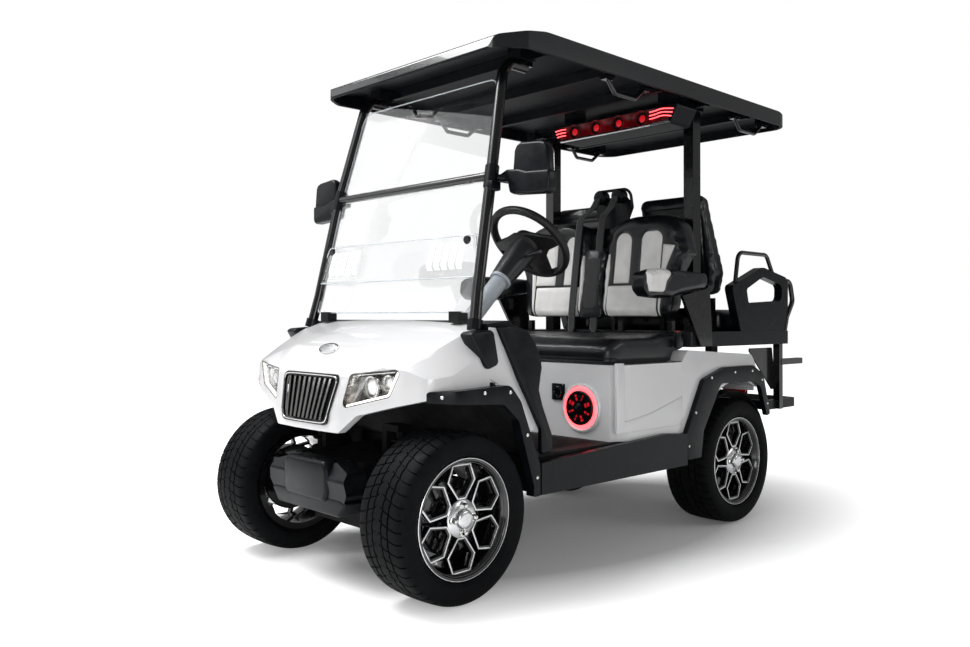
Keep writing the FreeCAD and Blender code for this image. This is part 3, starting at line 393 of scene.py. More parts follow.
def moulded_plastic():
    """Black moulded polypropylene of flares, sills and trim: leather-like grain, dull, a little grey in patches."""
    scuff = (NOISE, 45, {"Detail": 6})
    return dress(principled("moulded_polypropylene", "0A0D11", Roughness=0.32, IOR=1.49, Specular_IOR_Level=0.16,
                            Coat_Weight=0.06, Coat_Roughness=0.15),
                 ("Base Color", scuff, (0.45, 0.75), "080B0F", "11151A"), ("Roughness", scuff, (0.3, 0.7), 0.26, 0.4),
                 ("Normal", (CELLS, 2.2, {}, SOFT), 0.12))


def roof_plastic():
    """Black thermoformed ABS of the roof: gloss with a cool sheen outside, dull and darker underneath."""
    look = principled("thermoformed_abs", "0D0F13", Roughness=0.22, IOR=1.52, Specular_IOR_Level=0.35)
    normal = add(look.tree, "ShaderNodeNewGeometry").outputs["Normal"]
    height = add(look.tree, "ShaderNodeSeparateXYZ", {0: normal}).outputs["Z"]
    outside = add(look.tree, RANGE, {"Value": height, "From Min": -0.5, "From Max": -0.1}).outputs[0]
    return dress(look, ("Base Color", (NOISE, 180, {"Detail": 5}), (0.45, 0.8), "0C0E12", "14171D"),
                 ("Roughness", outside, (0, 1), 0.55, 0.2), ("Specular IOR Level", outside, (0, 1), 0.08, 0.4),
                 ("Coat Weight", outside, (0, 1), 0, 0.5), ("Normal", (NOISE, 38, {"Detail": 1}), 0.1))


def powder_coat():
    """Gloss black powder coat on steel tube and frame: fine orange peel, tight highlights."""
    return dress(principled("powder_coated_steel", "08090B", Roughness=0.2, IOR=1.5, Specular_IOR_Level=0.3,
                            Coat_Weight=0.5, Coat_Roughness=0.05),
                 ("Roughness", (NOISE, 30, {"Detail": 4}), (0.3, 0.7), 0.18, 0.3),
                 ("Normal", (NOISE, 3.5, {"Detail": 1}), 0.03))


def chassis_paint():
    """Dull black chassis paint on frame, arms and axle: dusty, with road haze in patches."""
    return dress(principled("chassis_paint", "08080A", Roughness=0.65, IOR=1.45, Specular_IOR_Level=0.15),
                 ("Base Color", (NOISE, 80, {"Detail": 6}), (0.45, 0.8), "070708", "121214"),
                 ("Normal", (NOISE, 3, {"Detail": 2}), 0.05))


def chrome_plate():
    """Chromium plate: mirror bright, softer in faint patches."""
    return dress(principled("chromium_plate", "D8D8D6", Metallic=1.0, Roughness=0.08),
                 ("Roughness", (NOISE, 25, {"Detail": 4}), (0.35, 0.7), 0.05, 0.14))


def machined_alloy():
    """Cast aluminium with diamond-turned bright faces: concentric turning lines, clear lacquer."""
    # turning grooves are 0.2 mm apart; drawn 1.5 mm apart so that they show
    grooves = (WAVES, WAVE / 0.66, {"Distortion": 0.4, "Detail": 1.0}, {"wave_type": "RINGS", "rings_direction": "X"})
    return dress(principled("machined_aluminium", "D6D7D9", Metallic=0.95, Roughness=0.22, Coat_Weight=0.3,
                            Coat_Roughness=0.06),
                 ("Roughness", (NOISE, 12, {"Detail": 3}), (0.3, 0.7), 0.16, 0.3), ("Normal", grooves, 0.01))


def lacquered_alloy():
    """Cast aluminium under gloss black lacquer, in the windows and pockets of the rims."""
    return dress(principled("black_lacquered_aluminium", "0B0B0D", Roughness=0.16, IOR=1.5, Coat_Weight=0.6,
                            Coat_Roughness=0.04),
                 ("Base Color", (NOISE, 20, {"Detail": 4}), (0.5, 0.8), "0B0B0D", "16161A"),
                 ("Normal", (NOISE, 5, {"Detail": 1}), 0.03))


def tyre_rubber():
    """Carbon-black tyre rubber: dull, with fine moulding lines and a trace of dust."""
    dust = (NOISE, 35, {"Detail": 6})
    return dress(principled("tyre_rubber", "0B0C0E", Roughness=0.6, IOR=1.45, Specular_IOR_Level=0.08),
                 ("Base Color", dust, (0.4, 0.75), "0A0B0D", "141517"), ("Roughness", dust, (0.3, 0.7), 0.52, 0.7),
                 ("Normal", (NOISE, 1.6, {"Detail": 2}), 0.06))


def clear_polycarbonate():
    """Clear polycarbonate of the windscreen: thin, bright edges, a faint cool tint."""
    return dress(principled("clear_polycarbonate", "F4F8FA", Roughness=0.02, IOR=1.2, Transmission_Weight=1.0,
                            Alpha=0.2),
                 ("Roughness", (NOISE, 90, {"Detail": 2}), (0.4, 0.7), 0.01, 0.05))


def lamp_glass():
    """Clear moulded polycarbonate of the lamp covers."""
    return dress(principled("lamp_polycarbonate", "F8FAFC", Roughness=0.02, IOR=1.3, Transmission_Weight=1.0,
                            Alpha=0.35),
                 ("Roughness", (NOISE, 40, {"Detail": 2}), (0.4, 0.7), 0.01, 0.04))


def red_acrylic():
    """Red moulded acrylic with prism rows inside."""
    rows = (WAVES, 6 * WAVE, {}, {"wave_type": "BANDS", "bands_direction": "Z"})
    return dress(principled("red_acrylic", "A3080C", Roughness=0.12, IOR=1.49, Coat_Weight=0.6, Coat_Roughness=0.03),
                 ("Base Color", rows, None, "7C0508", "C01216"), ("Normal", rows, 0.3))


def black_vinyl():
    """Black marine vinyl of the seats: pebbled leather grain, soft broad sheen."""
    wear = (NOISE, 70, {"Detail": 5})
    # the grain is 1 mm; drawn at 3.2 mm so that it shows
    return dress(principled("black_marine_vinyl", "17181A", Roughness=0.42, IOR=1.5, Specular_IOR_Level=0.5),
                 ("Base Color", wear, (0.45, 0.75), "151618", "202124"), ("Roughness", wear, (0.3, 0.7), 0.36, 0.5),
                 ("Normal", (CELLS, 3.2, {}, SOFT), 0.16))


def grip_cover():
    """Soft black polyurethane of the steering wheel: fine pores, slight polish where hands rub."""
    return dress(principled("polyurethane_grip", "141416", Roughness=0.45, IOR=1.48, Specular_IOR_Level=0.3),
                 ("Roughness", (NOISE, 28, {"Detail": 4}), (0.3, 0.7), 0.34, 0.55), ("Normal", (CELLS, 1.8), 0.08))


def webbing():
    """Black polyester belt webbing: ribs across the strap, dull sheen."""
    # ribs are 1.5 mm apart; drawn 3 mm apart so that they show
    ribs = (WAVES, 3 * WAVE, {"Distortion": 0.2}, {"wave_type": "BANDS", "bands_direction": "Z"})
    return dress(principled("polyester_webbing", "1C1D1F", Roughness=0.7, Sheen_Weight=0.3),
                 ("Base Color", ribs, None, "141517", "2A2B2E"), ("Normal", ribs, 0.25))


def floor_rubber():
    """Black moulded rubber mat: dull, dusty, with small pits."""
    return dress(principled("moulded_rubber_mat", "1A1A1B", Roughness=0.72, Specular_IOR_Level=0.2),
                 ("Base Color", (NOISE, 60, {"Detail": 6}), (0.4, 0.75), "171718", "2B2B2C"),
                 ("Normal", (CELLS, 2.5), 0.15))


def cast_alloy():
    """Sand-cast aluminium of the motor: dull grey with a coarse skin."""
    return dress(principled("cast_aluminium", "8B8C8E", Metallic=0.85, Roughness=0.5),
                 ("Base Color", (NOISE, 30, {"Detail": 5}), (0.4, 0.7), "7C7D80", "98999B"),
                 ("Normal", (NOISE, 2.5, {"Detail": 3}), 0.2))


def battery_plastic():
    """Dark grey polypropylene battery case: fine spark-eroded texture."""
    return dress(principled("battery_polypropylene", "3A3B3E", Roughness=0.55),
                 ("Base Color", (NOISE, 50, {"Detail": 5}), (0.4, 0.7), "36373A", "434447"),
                 ("Normal", (NOISE, 1.5, {"Detail": 2}), 0.08))


def red_light():
    """Red light-emitting diodes behind a diffuser: bright in the middle of each, dimmer between."""
    return dress(principled("red_diodes", "FF2020", Roughness=0.3, Emission_Color=linear("FF4A50"),
                            Emission_Strength=4.5),
                 ("Base Color", (NOISE, 14, {"Detail": 2}), None, "FF1010", "D00A10"))


def white_light():
    """White running light guide: an opal strip with a warm white glow."""
    return dress(principled("opal_light_guide", "FFFFFF", Roughness=0.25, Emission_Color=linear("FFFAF2"),
                            Emission_Strength=1.6),
                 ("Base Color", (NOISE, 20, {"Detail": 2}), None, "FFFFFF", "F0F0F2"))


def reflector_shell():
    """Aluminised lamp bowl behind its cover, with painted shade and painted reflections as random dark and bright
    patches in its colour.
    """
    # base colour runs at random from near black to pale: painted shade and painted reflections, not the metal's own
    # tone
    return dress(principled("aluminised_reflector", "77787A", Metallic=0.85, Roughness=0.22),
                 ("Base Color", (NOISE, 24, {"Detail": 3}), (0.35, 0.65), "1E1C1B", "A8A39C"),
                 ("Normal", (CELLS, 9), 0.4))


def projector_lens():
    """Clear moulded lens over a bright cell: cool white with a soft core."""
    return dress(principled("moulded_lens", "DDE2E6", Roughness=0.06, IOR=1.49, Coat_Weight=0.8, Coat_Roughness=0.02,
                            Emission_Color=linear("FFF6E8"), Emission_Strength=0.25),
                 ("Base Color", (NOISE, 14, {"Detail": 1}), None, "C9CDD2", "F4F6F8"))


def satin_silver():
    """Satin nickel trim: soft bright, brushed along one way."""
    look = principled("satin_nickel", "C4C6C8", Metallic=0.9, Roughness=0.3)
    # brush lines are 0.1 mm; drawn 1 mm apart so that they show
    along = add(look.tree, "ShaderNodeMapping", {"Vector": look.place, "Scale": (1, 40, 40)}).outputs[0]
    lines = add(look.tree, NOISE, {"Vector": along, "Scale": 25.0, "Detail": 2.0}).outputs[0]
    return dress(look, ("Roughness", lines, (0.3, 0.7), 0.22, 0.38), ("Normal", lines, 0.02))


def frosted_polycarbonate():
    """Frosted polycarbonate of the vent louvres: milky white, soft, with a faint painted glow."""
    # the faint white emission is a painted glow; no lamp lights the louvres
    return dress(principled("frosted_polycarbonate", "F2F5F6", Roughness=0.5, IOR=1.3, Transmission_Weight=0.35,
                            Emission_Color=linear("FFFFFF"), Emission_Strength=0.18),
                 ("Base Color", (NOISE, 18, {"Detail": 3}), None, "EDF1F3", "FFFFFF"),
                 ("Normal", (NOISE, 1.5, {"Detail": 1}), 0.02))


def pale_grey_and_painted_highlight():
    """Painted highlight of the flame-polished edges of clear sheet, as an opaque pale grey; on the hinge bar, partly
    the bar's own light grey.
    """
    # the opaque pale grey stands in for the edge highlight: a painted highlight
    return dress(principled("polished_sheet_edge", "C2C9CE", Roughness=0.12, IOR=1.5, Coat_Weight=0.6,
                            Coat_Roughness=0.03),
                 ("Base Color", (NOISE, 120, {"Detail": 2}), None, "A5ADB3", "DDE3E6"))


def dim_red_light():
    """Red lit segments behind the speaker's grille: darker than the ring."""
    return dress(principled("red_lit_segments", "C01018", Roughness=0.35, Emission_Color=linear("FF2030"),
                            Emission_Strength=0.4),
                 ("Base Color", (NOISE, 9, {"Detail": 2}), None, "D01020", "600810"))


def cone_light():
    """Speaker cones washed by red diodes: glowing middle, dark towards the edge."""
    return dress(principled("red_washed_cone", "A0101A", Roughness=0.45, Emission_Color=linear("FF1A2A"),
                            Emission_Strength=0.45),
                 ("Base Color", (NOISE, 9, {"Detail": 2}), None, "B0101C", "5A060C"))


def black_nickel():
    """Black nickel on the grille's frame and bar flanks: dark mirror with a warm edge."""
    return dress(principled("black_nickel", "2A2A2C", Metallic=0.9, Roughness=0.24),
                 ("Base Color", (NOISE, 30, {"Detail": 3}), None, "1C1C1E", "3A3A3C"),
                 ("Normal", (NOISE, 4, {"Detail": 1}), 0.02))


def red_haze():
    """Black cabinet front that red diodes wash from inside: a dark red glow in patches."""
    return dress(principled("red_washed_panel", "140608", Roughness=0.4, Specular_IOR_Level=0.2,
                            Emission_Color=linear("C00818")),
                 ("Emission Strength", (NOISE, 60, {"Detail": 1}), (0.3, 0.7), 0.05, 0.16), ("Normal", (CELLS, 5), 0.2))


def column_sleeve():
    """Steering column: silver-grey painted tube below, black moulded shroud above."""
    look = principled("column_sleeve", "9EA5AC", Roughness=0.35, IOR=1.48)
    # the shroud ends this far below the wheel, along a column that leans back from the level
    slope, wheel_height, shroud_depth, blur = math.radians(44), 1.212, 0.218, 0.0005
    way = (0, math.cos(slope), math.sin(slope))
    along = add(look.tree, "ShaderNodeVectorMath", {0: look.place, 1: way}, operation="DOT_PRODUCT").outputs["Value"]
    edge = middle("steering_wheel").y * way[1] + wheel_height * way[2] - shroud_depth
    shroud = add(look.tree, RANGE, {"Value": along, "From Min": edge - blur, "From Max": edge + blur}).outputs[0]
    mottle = add(look.tree, NOISE, {"Vector": look.place, "Scale": 1000 / 40, "Detail": 4}).outputs[0]
    grey = add(look.tree, BLEND, {0: mottle, 6: linear("8F979F"), 7: linear("A8AEB4")},
               data_type="RGBA").outputs[2]
    body = add(look.tree, BLEND, {0: shroud, 6: grey, 7: linear("15171A")}, data_type="RGBA").outputs[2]
    look.tree.links.new(body, look.shader.inputs["Base Color"])
    return dress(look, ("Normal", (NOISE, 5, {"Detail": 1}), 0.05))


FINISHES = {}


def finish(make):
    """One material of each kind, made when it is first asked for."""
    if make.__name__ not in FINISHES:
        FINISHES[make.__name__] = make().material
    return FINISHES[make.__name__]


# ---------------------------------------------------------------- wheels

CORNERS = (  # name, side (+1 left), body
    ("fl", 1, "wheel_fl"), ("fr", -1, "wheel_fr"), ("rl", 1, "wheel_rl"), ("rr", -1, "wheel_rr"),
)


class WheelSettings(bpy.types.PropertyGroup):
    pitches: IntProperty(name="Pitches", description="Tread blocks round each tyre", default=46, min=20, max=80)
    groove: FloatProperty(name="Groove", description="Depth of the tread grooves", default=0.006, unit="LENGTH")
    rib: FloatProperty(name="Rib", description="Width of the machined face on each spoke loop", default=0.0055,
                       unit="LENGTH")


SIPE = 0.13  # width of a cross groove, in pitches
GROOVES = ((19, 25), (48.5, 55.5))  # the grooves round the tyre, from its middle in millimetres
TREAD_DROP = 14  # grooves end where the shoulder has dropped this far


def tread_slant(across):
    """How far the cross grooves lead at a place across the tread, in pitches: a chevron with steeper shoulders."""
    across = abs(across)
    return 0.42 * min(across, 22) / 22 + 0.5 * max(0, min(across - 22, 60)) / 60


def make_tyre(settings):
    """Low-profile road tyre: four zigzag grooves round it, chevron sipes, ribbed shoulders and a rim guard."""
    centre = middle("tyre_fl")
    crown = (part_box("tyre_fl")[1].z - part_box("tyre_fl")[0].z) / 2 / MM
    # distance across from the middle, and drop below the crown
    half = [(0, 0), (9, 0), (19, .1), (25, .2), (37, .5), (48.5, .9), (55.5, 1.2), (70, 2.1), (84, 3.4), (92, 5.6),
            (99, 9.4), (104, 14), (107, 21), (109.4, 31), (110.8, 42), (110.2, 53), (108.4, 62), (108.4, 64),
            (106.6, 66), (104, 71), (100, 76), (92, 80.5), (91, 88), (91, 96.7)]
    profile = [(across, crown - drop) for across, drop in half]
    profile += [(-across, radius) for across, radius in profile[:0:-1]]
    columns = (0, SIPE, 0.42, 0.71)  # where the mesh is cut along one pitch
    tyre = turned("tyre", profile, (1, 0, 0), in_mm(centre),
                  settings.pitches * len(columns))
    step = 2 * math.pi / settings.pitches
    for vertex in tyre.data.vertices:
        place = vertex.co - centre
        radius, across = math.hypot(place.y, place.z), place.x / MM
        index = round(math.atan2(place.z, place.y) / step * len(columns))
        share = index // len(columns) + columns[index % len(columns)]
        zigzag = 1.6 * (1, 1, -1, -1)[index % len(columns)] if 15 < abs(across) < 30 or 45 < abs(across) < 60 else 0
        angle = step * (share + tread_slant(across))
        vertex.co = centre + Vector(((across + zigzag) * MM, radius * math.cos(angle), radius * math.sin(angle)))

    def grooved(face):
        place = face.calc_center_median() - centre
        across = abs(place.x) / MM
        if math.hypot(place.y, place.z) / MM < crown - TREAD_DROP:
            return False
        turn = math.atan2(place.z, place.y) / step - tread_slant(across)
        sipe = turn % 1 < SIPE and across > 9
        return sipe or any(low < across < high for low, high in GROOVES)

    with Edit(tyre) as work:
        work.pick("faces", grooved)
        bpy.ops.mesh.extrude_region_shrink_fatten(TRANSFORM_OT_shrink_fatten={"value": -settings.groove})
    return smooth(tyre, 28)


HEX = ((17, 60), (60, 118), (39, 173), (-39, 173), (-60, 118), (-17, 60))  # one spoke loop: across, out from axle
SPOKES, NUTS = 6, 4
NUT_CIRCLE = Vector((0, 0, 43))


def spoke_loop(name, centre, width, face, depth, bevel):
    """One closed hexagon of the spokes, with its bright or dark face at a distance out from the wheel's middle."""
    station = in_mm(centre)
    corners = [(station[1] + across, station[2] + out) for across, out in HEX]
    loop = outline(name, corners, "YZ", station[0] + face)
    with Edit(loop) as work:
        bpy.ops.mesh.select_all(action="SELECT")
        bpy.ops.mesh.inset(thickness=width * MM, depth=0)
        # the inset leaves a six-cornered face in the middle, which opens the loop
        work.pick("faces", lambda face: len(face.verts) == len(HEX)
                  and abs((face.calc_center_median() - centre).y) < 5 * MM)
        bpy.ops.mesh.delete(type="FACE")
        bpy.ops.mesh.select_all(action="SELECT")
        bpy.ops.mesh.extrude_region_move(TRANSFORM_OT_translate={"value": (-depth * MM, 0, 0)})
    outward(loop)
    return smooth(bevelled(loop, bevel, limit=40), 40)


def repeated(piece, count, centre):
    """The piece and its copies turned round the wheel's axle, as one mesh."""
    ring = [piece]
    for turn in range(1, count):
        matrix = (Matrix.Translation(centre) @ Matrix.Rotation(2 * math.pi * turn / count, 4, "X")
                  @ Matrix.Translation(-centre))
        ring.append(copied(piece, f"{piece.name}_{turn}", matrix))
    return joined(piece.name, ring)


def make_rim(settings):
    """Two-tone rim: black barrel and pockets, with diamond-turned loops, lip and hub."""
    centre = middle("tyre_fl")
    station = in_mm(centre)
    barrel = turned("rim_barrel", [(-99, 170), (-99, 193.5), (-93, 193.5), (-92, 178.4), (92, 178.4), (93, 193.5),
                                   (97, 193.5), (97, 184), (88, 176), (60, 168), (20, 158), (-30, 160), (-70, 170)],
                    (1, 0, 0), station, 96)
    webs = repeated(spoke_loop("rim_webs", centre, 11, 78, 26, 2.5), SPOKES, centre)
    drum = turned("rim_drum", [(-24, 15.3), (-24, 124), (-20, 127), (24, 127), (30, 121), (32, 90), (40, 84),
                               (40, 50), (58, 48), (58, 15.3)], (1, 0, 0), station, 64)
    neck = turned("rim_neck", [(38, 20), (38, 66), (60, 62), (72, 60), (72, 20)], (1, 0, 0), station, 64)
    dark = joined("rim_dark", [barrel, webs, drum, neck])

    loops = repeated(spoke_loop("rim_loops", centre, settings.rib / MM, 80.4, 3.2, 0.8), SPOKES, centre)
    lip = turned("rim_lip", [(95, 190.4), (95, 193.7), (98.6, 193.7), (99.6, 192.6), (99.6, 191), (98, 190.4)],
                 (1, 0, 0), station, 128)
    hub = turned("rim_hub", [(71, 18), (71, 57), (76, 61), (80.5, 61), (83, 58), (85, 50), (86.5, 47), (88, 33),
                             (94, 31.5), (99, 30), (102.5, 26), (103.8, 18), (103.8, 1), (92, 1), (90, 18)],
                 (1, 0, 0), station, 72)
    nut = turned("rim_nut", [(84, 0.5), (84, 10), (87, 10.5), (99, 9.6), (103, 7.5), (104, 4), (104, 0.5)],
                 (1, 0, 0), station + NUT_CIRCLE, 6)
    bevelled(nut, 0.9, limit=35)
    washer = turned("rim_washer", [(85, 9), (85, 14), (88.4, 13.4), (88.4, 9)], (1, 0, 0), station + NUT_CIRCLE, 32)
    nuts = repeated(joined("rim_nuts", [nut, washer]), NUTS, centre)
    bright = joined("rim_bright", [loops, lip, hub])
    valve = turned("rim_valve", [(88, 0.5), (88, 4.5), (96, 4), (98, 3), (110, 3), (110, 0.5)], (1, 0, 0),
                   station + Vector((0, 60, 158)), 16)
    dark = joined("rim_dark", [dark, valve])
    return dark, bright, nuts


class CART_OT_wheels(bpy.types.Operator):
    """Tyres with tread, two-tone rims and wheel nuts"""
    bl_idname = "cart.wheels"
    bl_label = "Wheels"

    def execute(self, context):
        settings = context.scene.cart_wheels
        dark, bright, nuts = make_rim(settings)
        kinds = {"tyre": (make_tyre(settings), tyre_rubber, "tyre"), "rim": (dark, lacquered_alloy, "alloy"),
                 "rim_faces": (bright, machined_alloy, "alloy"), "wheel_nuts": (nuts, chrome_plate, "alloy")}
        start = middle("tyre_fl")
        for kind, (master, make, slot) in kinds.items():
            for name, side, body in CORNERS:
                place = middle(f"tyre_{name}")
                matrix = Matrix.Translation(place) @ Matrix.Scale(side, 4, (1, 0, 0)) @ Matrix.Translation(-start)
                piece = copied(master, f"{kind}_{name}_detail", matrix)
                done(piece, make, body, slot, (f"{kind}_{name}",) if kind in ("tyre", "rim") else ())
            bpy.data.objects.remove(master)
        return {"FINISHED"}


# ---------------------------------------------------------------- seats

SEAT_MIDDLE = 226  # middle of a seat's sewn pattern, from the cart's middle
SEAMS = "seam_distance"  # attribute: metres from the nearest insert edge, negative inside an insert
FAR = 60.0  # millimetres from a seam where nothing of it is left
CLOTH_FRAMES = 20


class SeatSettings(bpy.types.PropertyGroup):
    voxel: FloatProperty(name="Voxel", description="Grain of the mesh that the cloth is simulated on", default=0.009,
                         unit="LENGTH")
    pressure: FloatProperty(name="Pressure", description="Air pressure that stands for the foam", default=4.0)
    travel: FloatProperty(name="Travel", description="How far a point may swell", default=0.012, unit="LENGTH")
    seam: FloatProperty(name="Seam", description="Depth of a sewn seam", default=0.0035, unit="LENGTH")


def rounded_rectangle(a, b, low_a, high_a, low_b, high_b, radius):
    """Distance in millimetres from a rectangle with rounded corners, negative inside."""
    across = abs(a - (low_a + high_a) / 2) - (high_a - low_a) / 2 + radius
    along = abs(b - (low_b + high_b) / 2) - (high_b - low_b) / 2 + radius
    return math.hypot(max(across, 0), max(along, 0)) + min(max(across, along), 0) - radius


def polygon(a, b, corners):
    """Distance in millimetres from a polygon, negative inside."""
    near, inside = 1e9, False
    for (a0, b0), (a1, b1) in zip(corners, corners[1:] + corners[:1]):
        run, rise = a1 - a0, b1 - b0
        share = max(0, min(1, ((a - a0) * run + (b - b0) * rise) / (run * run + rise * rise)))
        near = min(near, math.hypot(a - a0 - share * run, b - b0 - share * rise))
        if (b0 > b) != (b1 > b) and a < a0 + (b - b0) * run / rise:
            inside = not inside
    return -near if inside else near


def lobe(side, z, low, high):
    """A seat lobe: round at its top, square where it meets the low panel."""
    if z > 1180:  # halfway up, where both forms run straight
        return rounded_rectangle(side, z, low, high, 1000, 1308, 42)
    return rounded_rectangle(side, z, low, high, 1073, 1400, 5)


def back_inserts(x, z):
    """Grey inserts of a front back: two lobes, a low panel, a narrow inner strip and a tapered outer wedge."""
    side = abs(x) - SEAT_MIDDLE
    strip = [(-146, 905), (-152, 905), (-166, 1130), (-156, 1212), (-142, 1216), (-134, 1150), (-138, 1070)]
    wedge = [(146, 905), (154, 905), (176, 1130), (216, 1236), (151, 1244), (150, 1150), (146, 1070)]
    return min(lobe(side, z, 26, 146), lobe(side, z, -112, -28), rounded_rectangle(side, z, -140, 140, 880, 1064, 8),
               polygon(side, z, strip), polygon(side, z, wedge))


def swell(piece, settings, travel):
    """Cloth under pressure for a stuffed look, then held to a small travel from where it began."""
    start = [vertex.co.copy() for vertex in piece.data.vertices]
    choose(piece)
    cloth = piece.modifiers.new("cloth", "CLOTH")
    cloth.settings.quality = 3
    cloth.settings.use_pressure = True
    cloth.settings.uniform_pressure_force = settings.pressure
    cloth.settings.tension_stiffness = cloth.settings.compression_stiffness = 25
    cloth.settings.bending_stiffness = 4
    cloth.settings.effector_weights.gravity = 0
    cloth.collision_settings.use_collision = False
    scene = bpy.context.scene
    for number in range(1, CLOTH_FRAMES + 1):
        scene.frame_set(number)
    choose(piece)
    bpy.ops.object.modifier_apply(modifier=cloth.name)
    scene.frame_set(1)
    for vertex, before in zip(piece.data.vertices, start):
        moved = vertex.co - before
        if moved.length > travel:
            vertex.co = before + moved.normalized() * travel


def upholstered(name, source, settings, shrink, form=None, travel=None, smoothing=6, voxel=None, sleek=3):
    """A stuffed piece from a closed form: remeshed, shaped, swollen and refined."""
    piece = bare_copy(source, name, 0.00005)
    modify(piece, "REMESH", mode="VOXEL", voxel_size=voxel or settings.voxel)
    modify(piece, "SMOOTH", factor=0.5, iterations=smoothing)
    for vertex, normal in zip(piece.data.vertices, [v.normal.copy() for v in piece.data.vertices]):
        vertex.co -= normal * shrink * MM
    if form:
        for vertex in piece.data.vertices:
            vertex.co = form(vertex.co)
    swell(piece, settings, travel or settings.travel)
    modify(piece, "SMOOTH", factor=0.5, iterations=sleek)
    return subdivided(piece, 1)


def sewn(piece, settings, distance, shows):
    """Keep the distance from the inserts on the mesh and pull the seams in."""
    attribute = piece.data.attributes.new(SEAMS, "FLOAT", "POINT")
    for vertex, normal, value in zip(piece.data.vertices, [v.normal.copy() for v in piece.data.vertices],
                                     attribute.data):
        place = vertex.co
        gap = distance(place) if shows(normal, place) else FAR
        value.value = gap * MM
        # a narrow valley along the seam, and a low swelling inside the insert
        swelling = math.exp(-((gap + 22) / 16) ** 2) if gap < 0 else 0
        vertex.co = place - normal * settings.seam * math.exp(-(gap / 4.5) ** 2) + normal * 0.002 * swelling
    return smooth(piece, 60)


def two_tone_vinyl():
    """Black marine vinyl with light grey inserts and a sewn seam between them: pebbled grain, thread in the seam."""
    look = principled("two_tone_marine_vinyl", "0E1115", Roughness=0.36, IOR=1.5, Specular_IOR_Level=0.22,
                      Coat_Weight=0.35, Coat_Roughness=0.22)
    tree = look.tree
    gap = add(tree, "ShaderNodeAttribute", attribute_name=SEAMS).outputs["Fac"]
    wear = add(tree, NOISE, {"Vector": look.place, "Scale": 1000 / 60, "Detail": 5}).outputs[0]
    tones = []
    for start, new, worn in ((0.45, "0B0E12", "14171C"), (0.4, "EFEEEC", "E2E1DF")):
        share = add(tree, RANGE, {"Value": wear, "From Min": start, "From Max": 0.75}).outputs[0]
        tones.append(add(tree, BLEND, {0: share, 6: linear(new), 7: linear(worn)}, data_type="RGBA").outputs[2])
    insert = add(tree, RANGE, {"Value": gap, "From Min": -0.0006, "From Max": 0.0006, "To Min": 1, "To Max": 0})
    body = add(tree, BLEND, {0: insert.outputs[0], 6: tones[0], 7: tones[1]}, data_type="RGBA").outputs[2]
    near = add(tree, MATHS, {0: gap}, operation="ABSOLUTE").outputs[0]
    fold = add(tree, RANGE, {"Value": near, "From Max": 0.0032, "To Min": 1, "To Max": 0}).outputs[0]
    body = add(tree, BLEND, {0: fold, 6: body, 7: linear("0C0C0D")}, data_type="RGBA").outputs[2]
    tree.links.new(body, look.shader.inputs["Base Color"])
    # two rows of stitches run 7 mm inside the seam, where the cells cut the thread into lengths
    row = add(tree, MATHS, {0: gap, 1: 0.007}, operation="ADD").outputs[0]
    row = add(tree, MATHS, {0: row}, operation="ABSOLUTE").outputs[0]
    thread = add(tree, RANGE, {"Value": row, "From Min": 0.0006, "From Max": 0.0012, "To Min": 1, "To Max": 0})
    cells = add(tree, CELLS, {"Vector": look.place, "Scale": 1000 / 7}).outputs["Distance"]
    pitch = add(tree, RANGE, {"Value": cells, "From Min": 0.25, "From Max": 0.3})
    stitches = add(tree, MATHS, {0: thread.outputs[0], 1: pitch.outputs[0]}, operation="MULTIPLY").outputs[0]
    # the grain is 1 mm; drawn at 3.4 mm so that it shows
    return dress(look, ("Roughness", wear, (0.3, 0.7), 0.3, 0.44), ("Normal", (CELLS, 3.4, {}, SOFT), 0.14),
                 ("Normal", stitches, 0.5))


def forward(normal, place):
    """A rule for sewn(): the parts that face forward."""
    return normal.y < -0.25


def upward(normal, place):
    """A rule for sewn(): all but the underside."""
    return normal.z > -0.5


def back_form(place):
    """Front backs dip between their bolsters and carry a fuller head section and low roll."""
    x, y, z = place.x / MM, place.y / MM - AXLES_MIDDLE, place.z / MM
    side = abs(abs(x) - SEAT_MIDDLE)
    front = max(0, min(1, (595 - y) / 60))
    dip = 13 * math.exp(-(side / 120) ** 4) * max(0, min(1, (1330 - z) / 40)) * max(0, min(1, (z - 915) / 40))
    lumbar = 7 * math.exp(-((z - 985) / 70) ** 2) * math.exp(-(side / 130) ** 4)
    # the head end narrows and its shoulders round off
    high = max(0, min(1, (z - 1180) / 220))
    across = (abs(x) - 265) / 251
    new_x = math.copysign(265 + 251 * across * (1 - 0.13 * high * high), x)
    return place + Vector(((new_x - x), (dip - lumbar) * front, -62 * high * abs(across) ** 3)) * MM


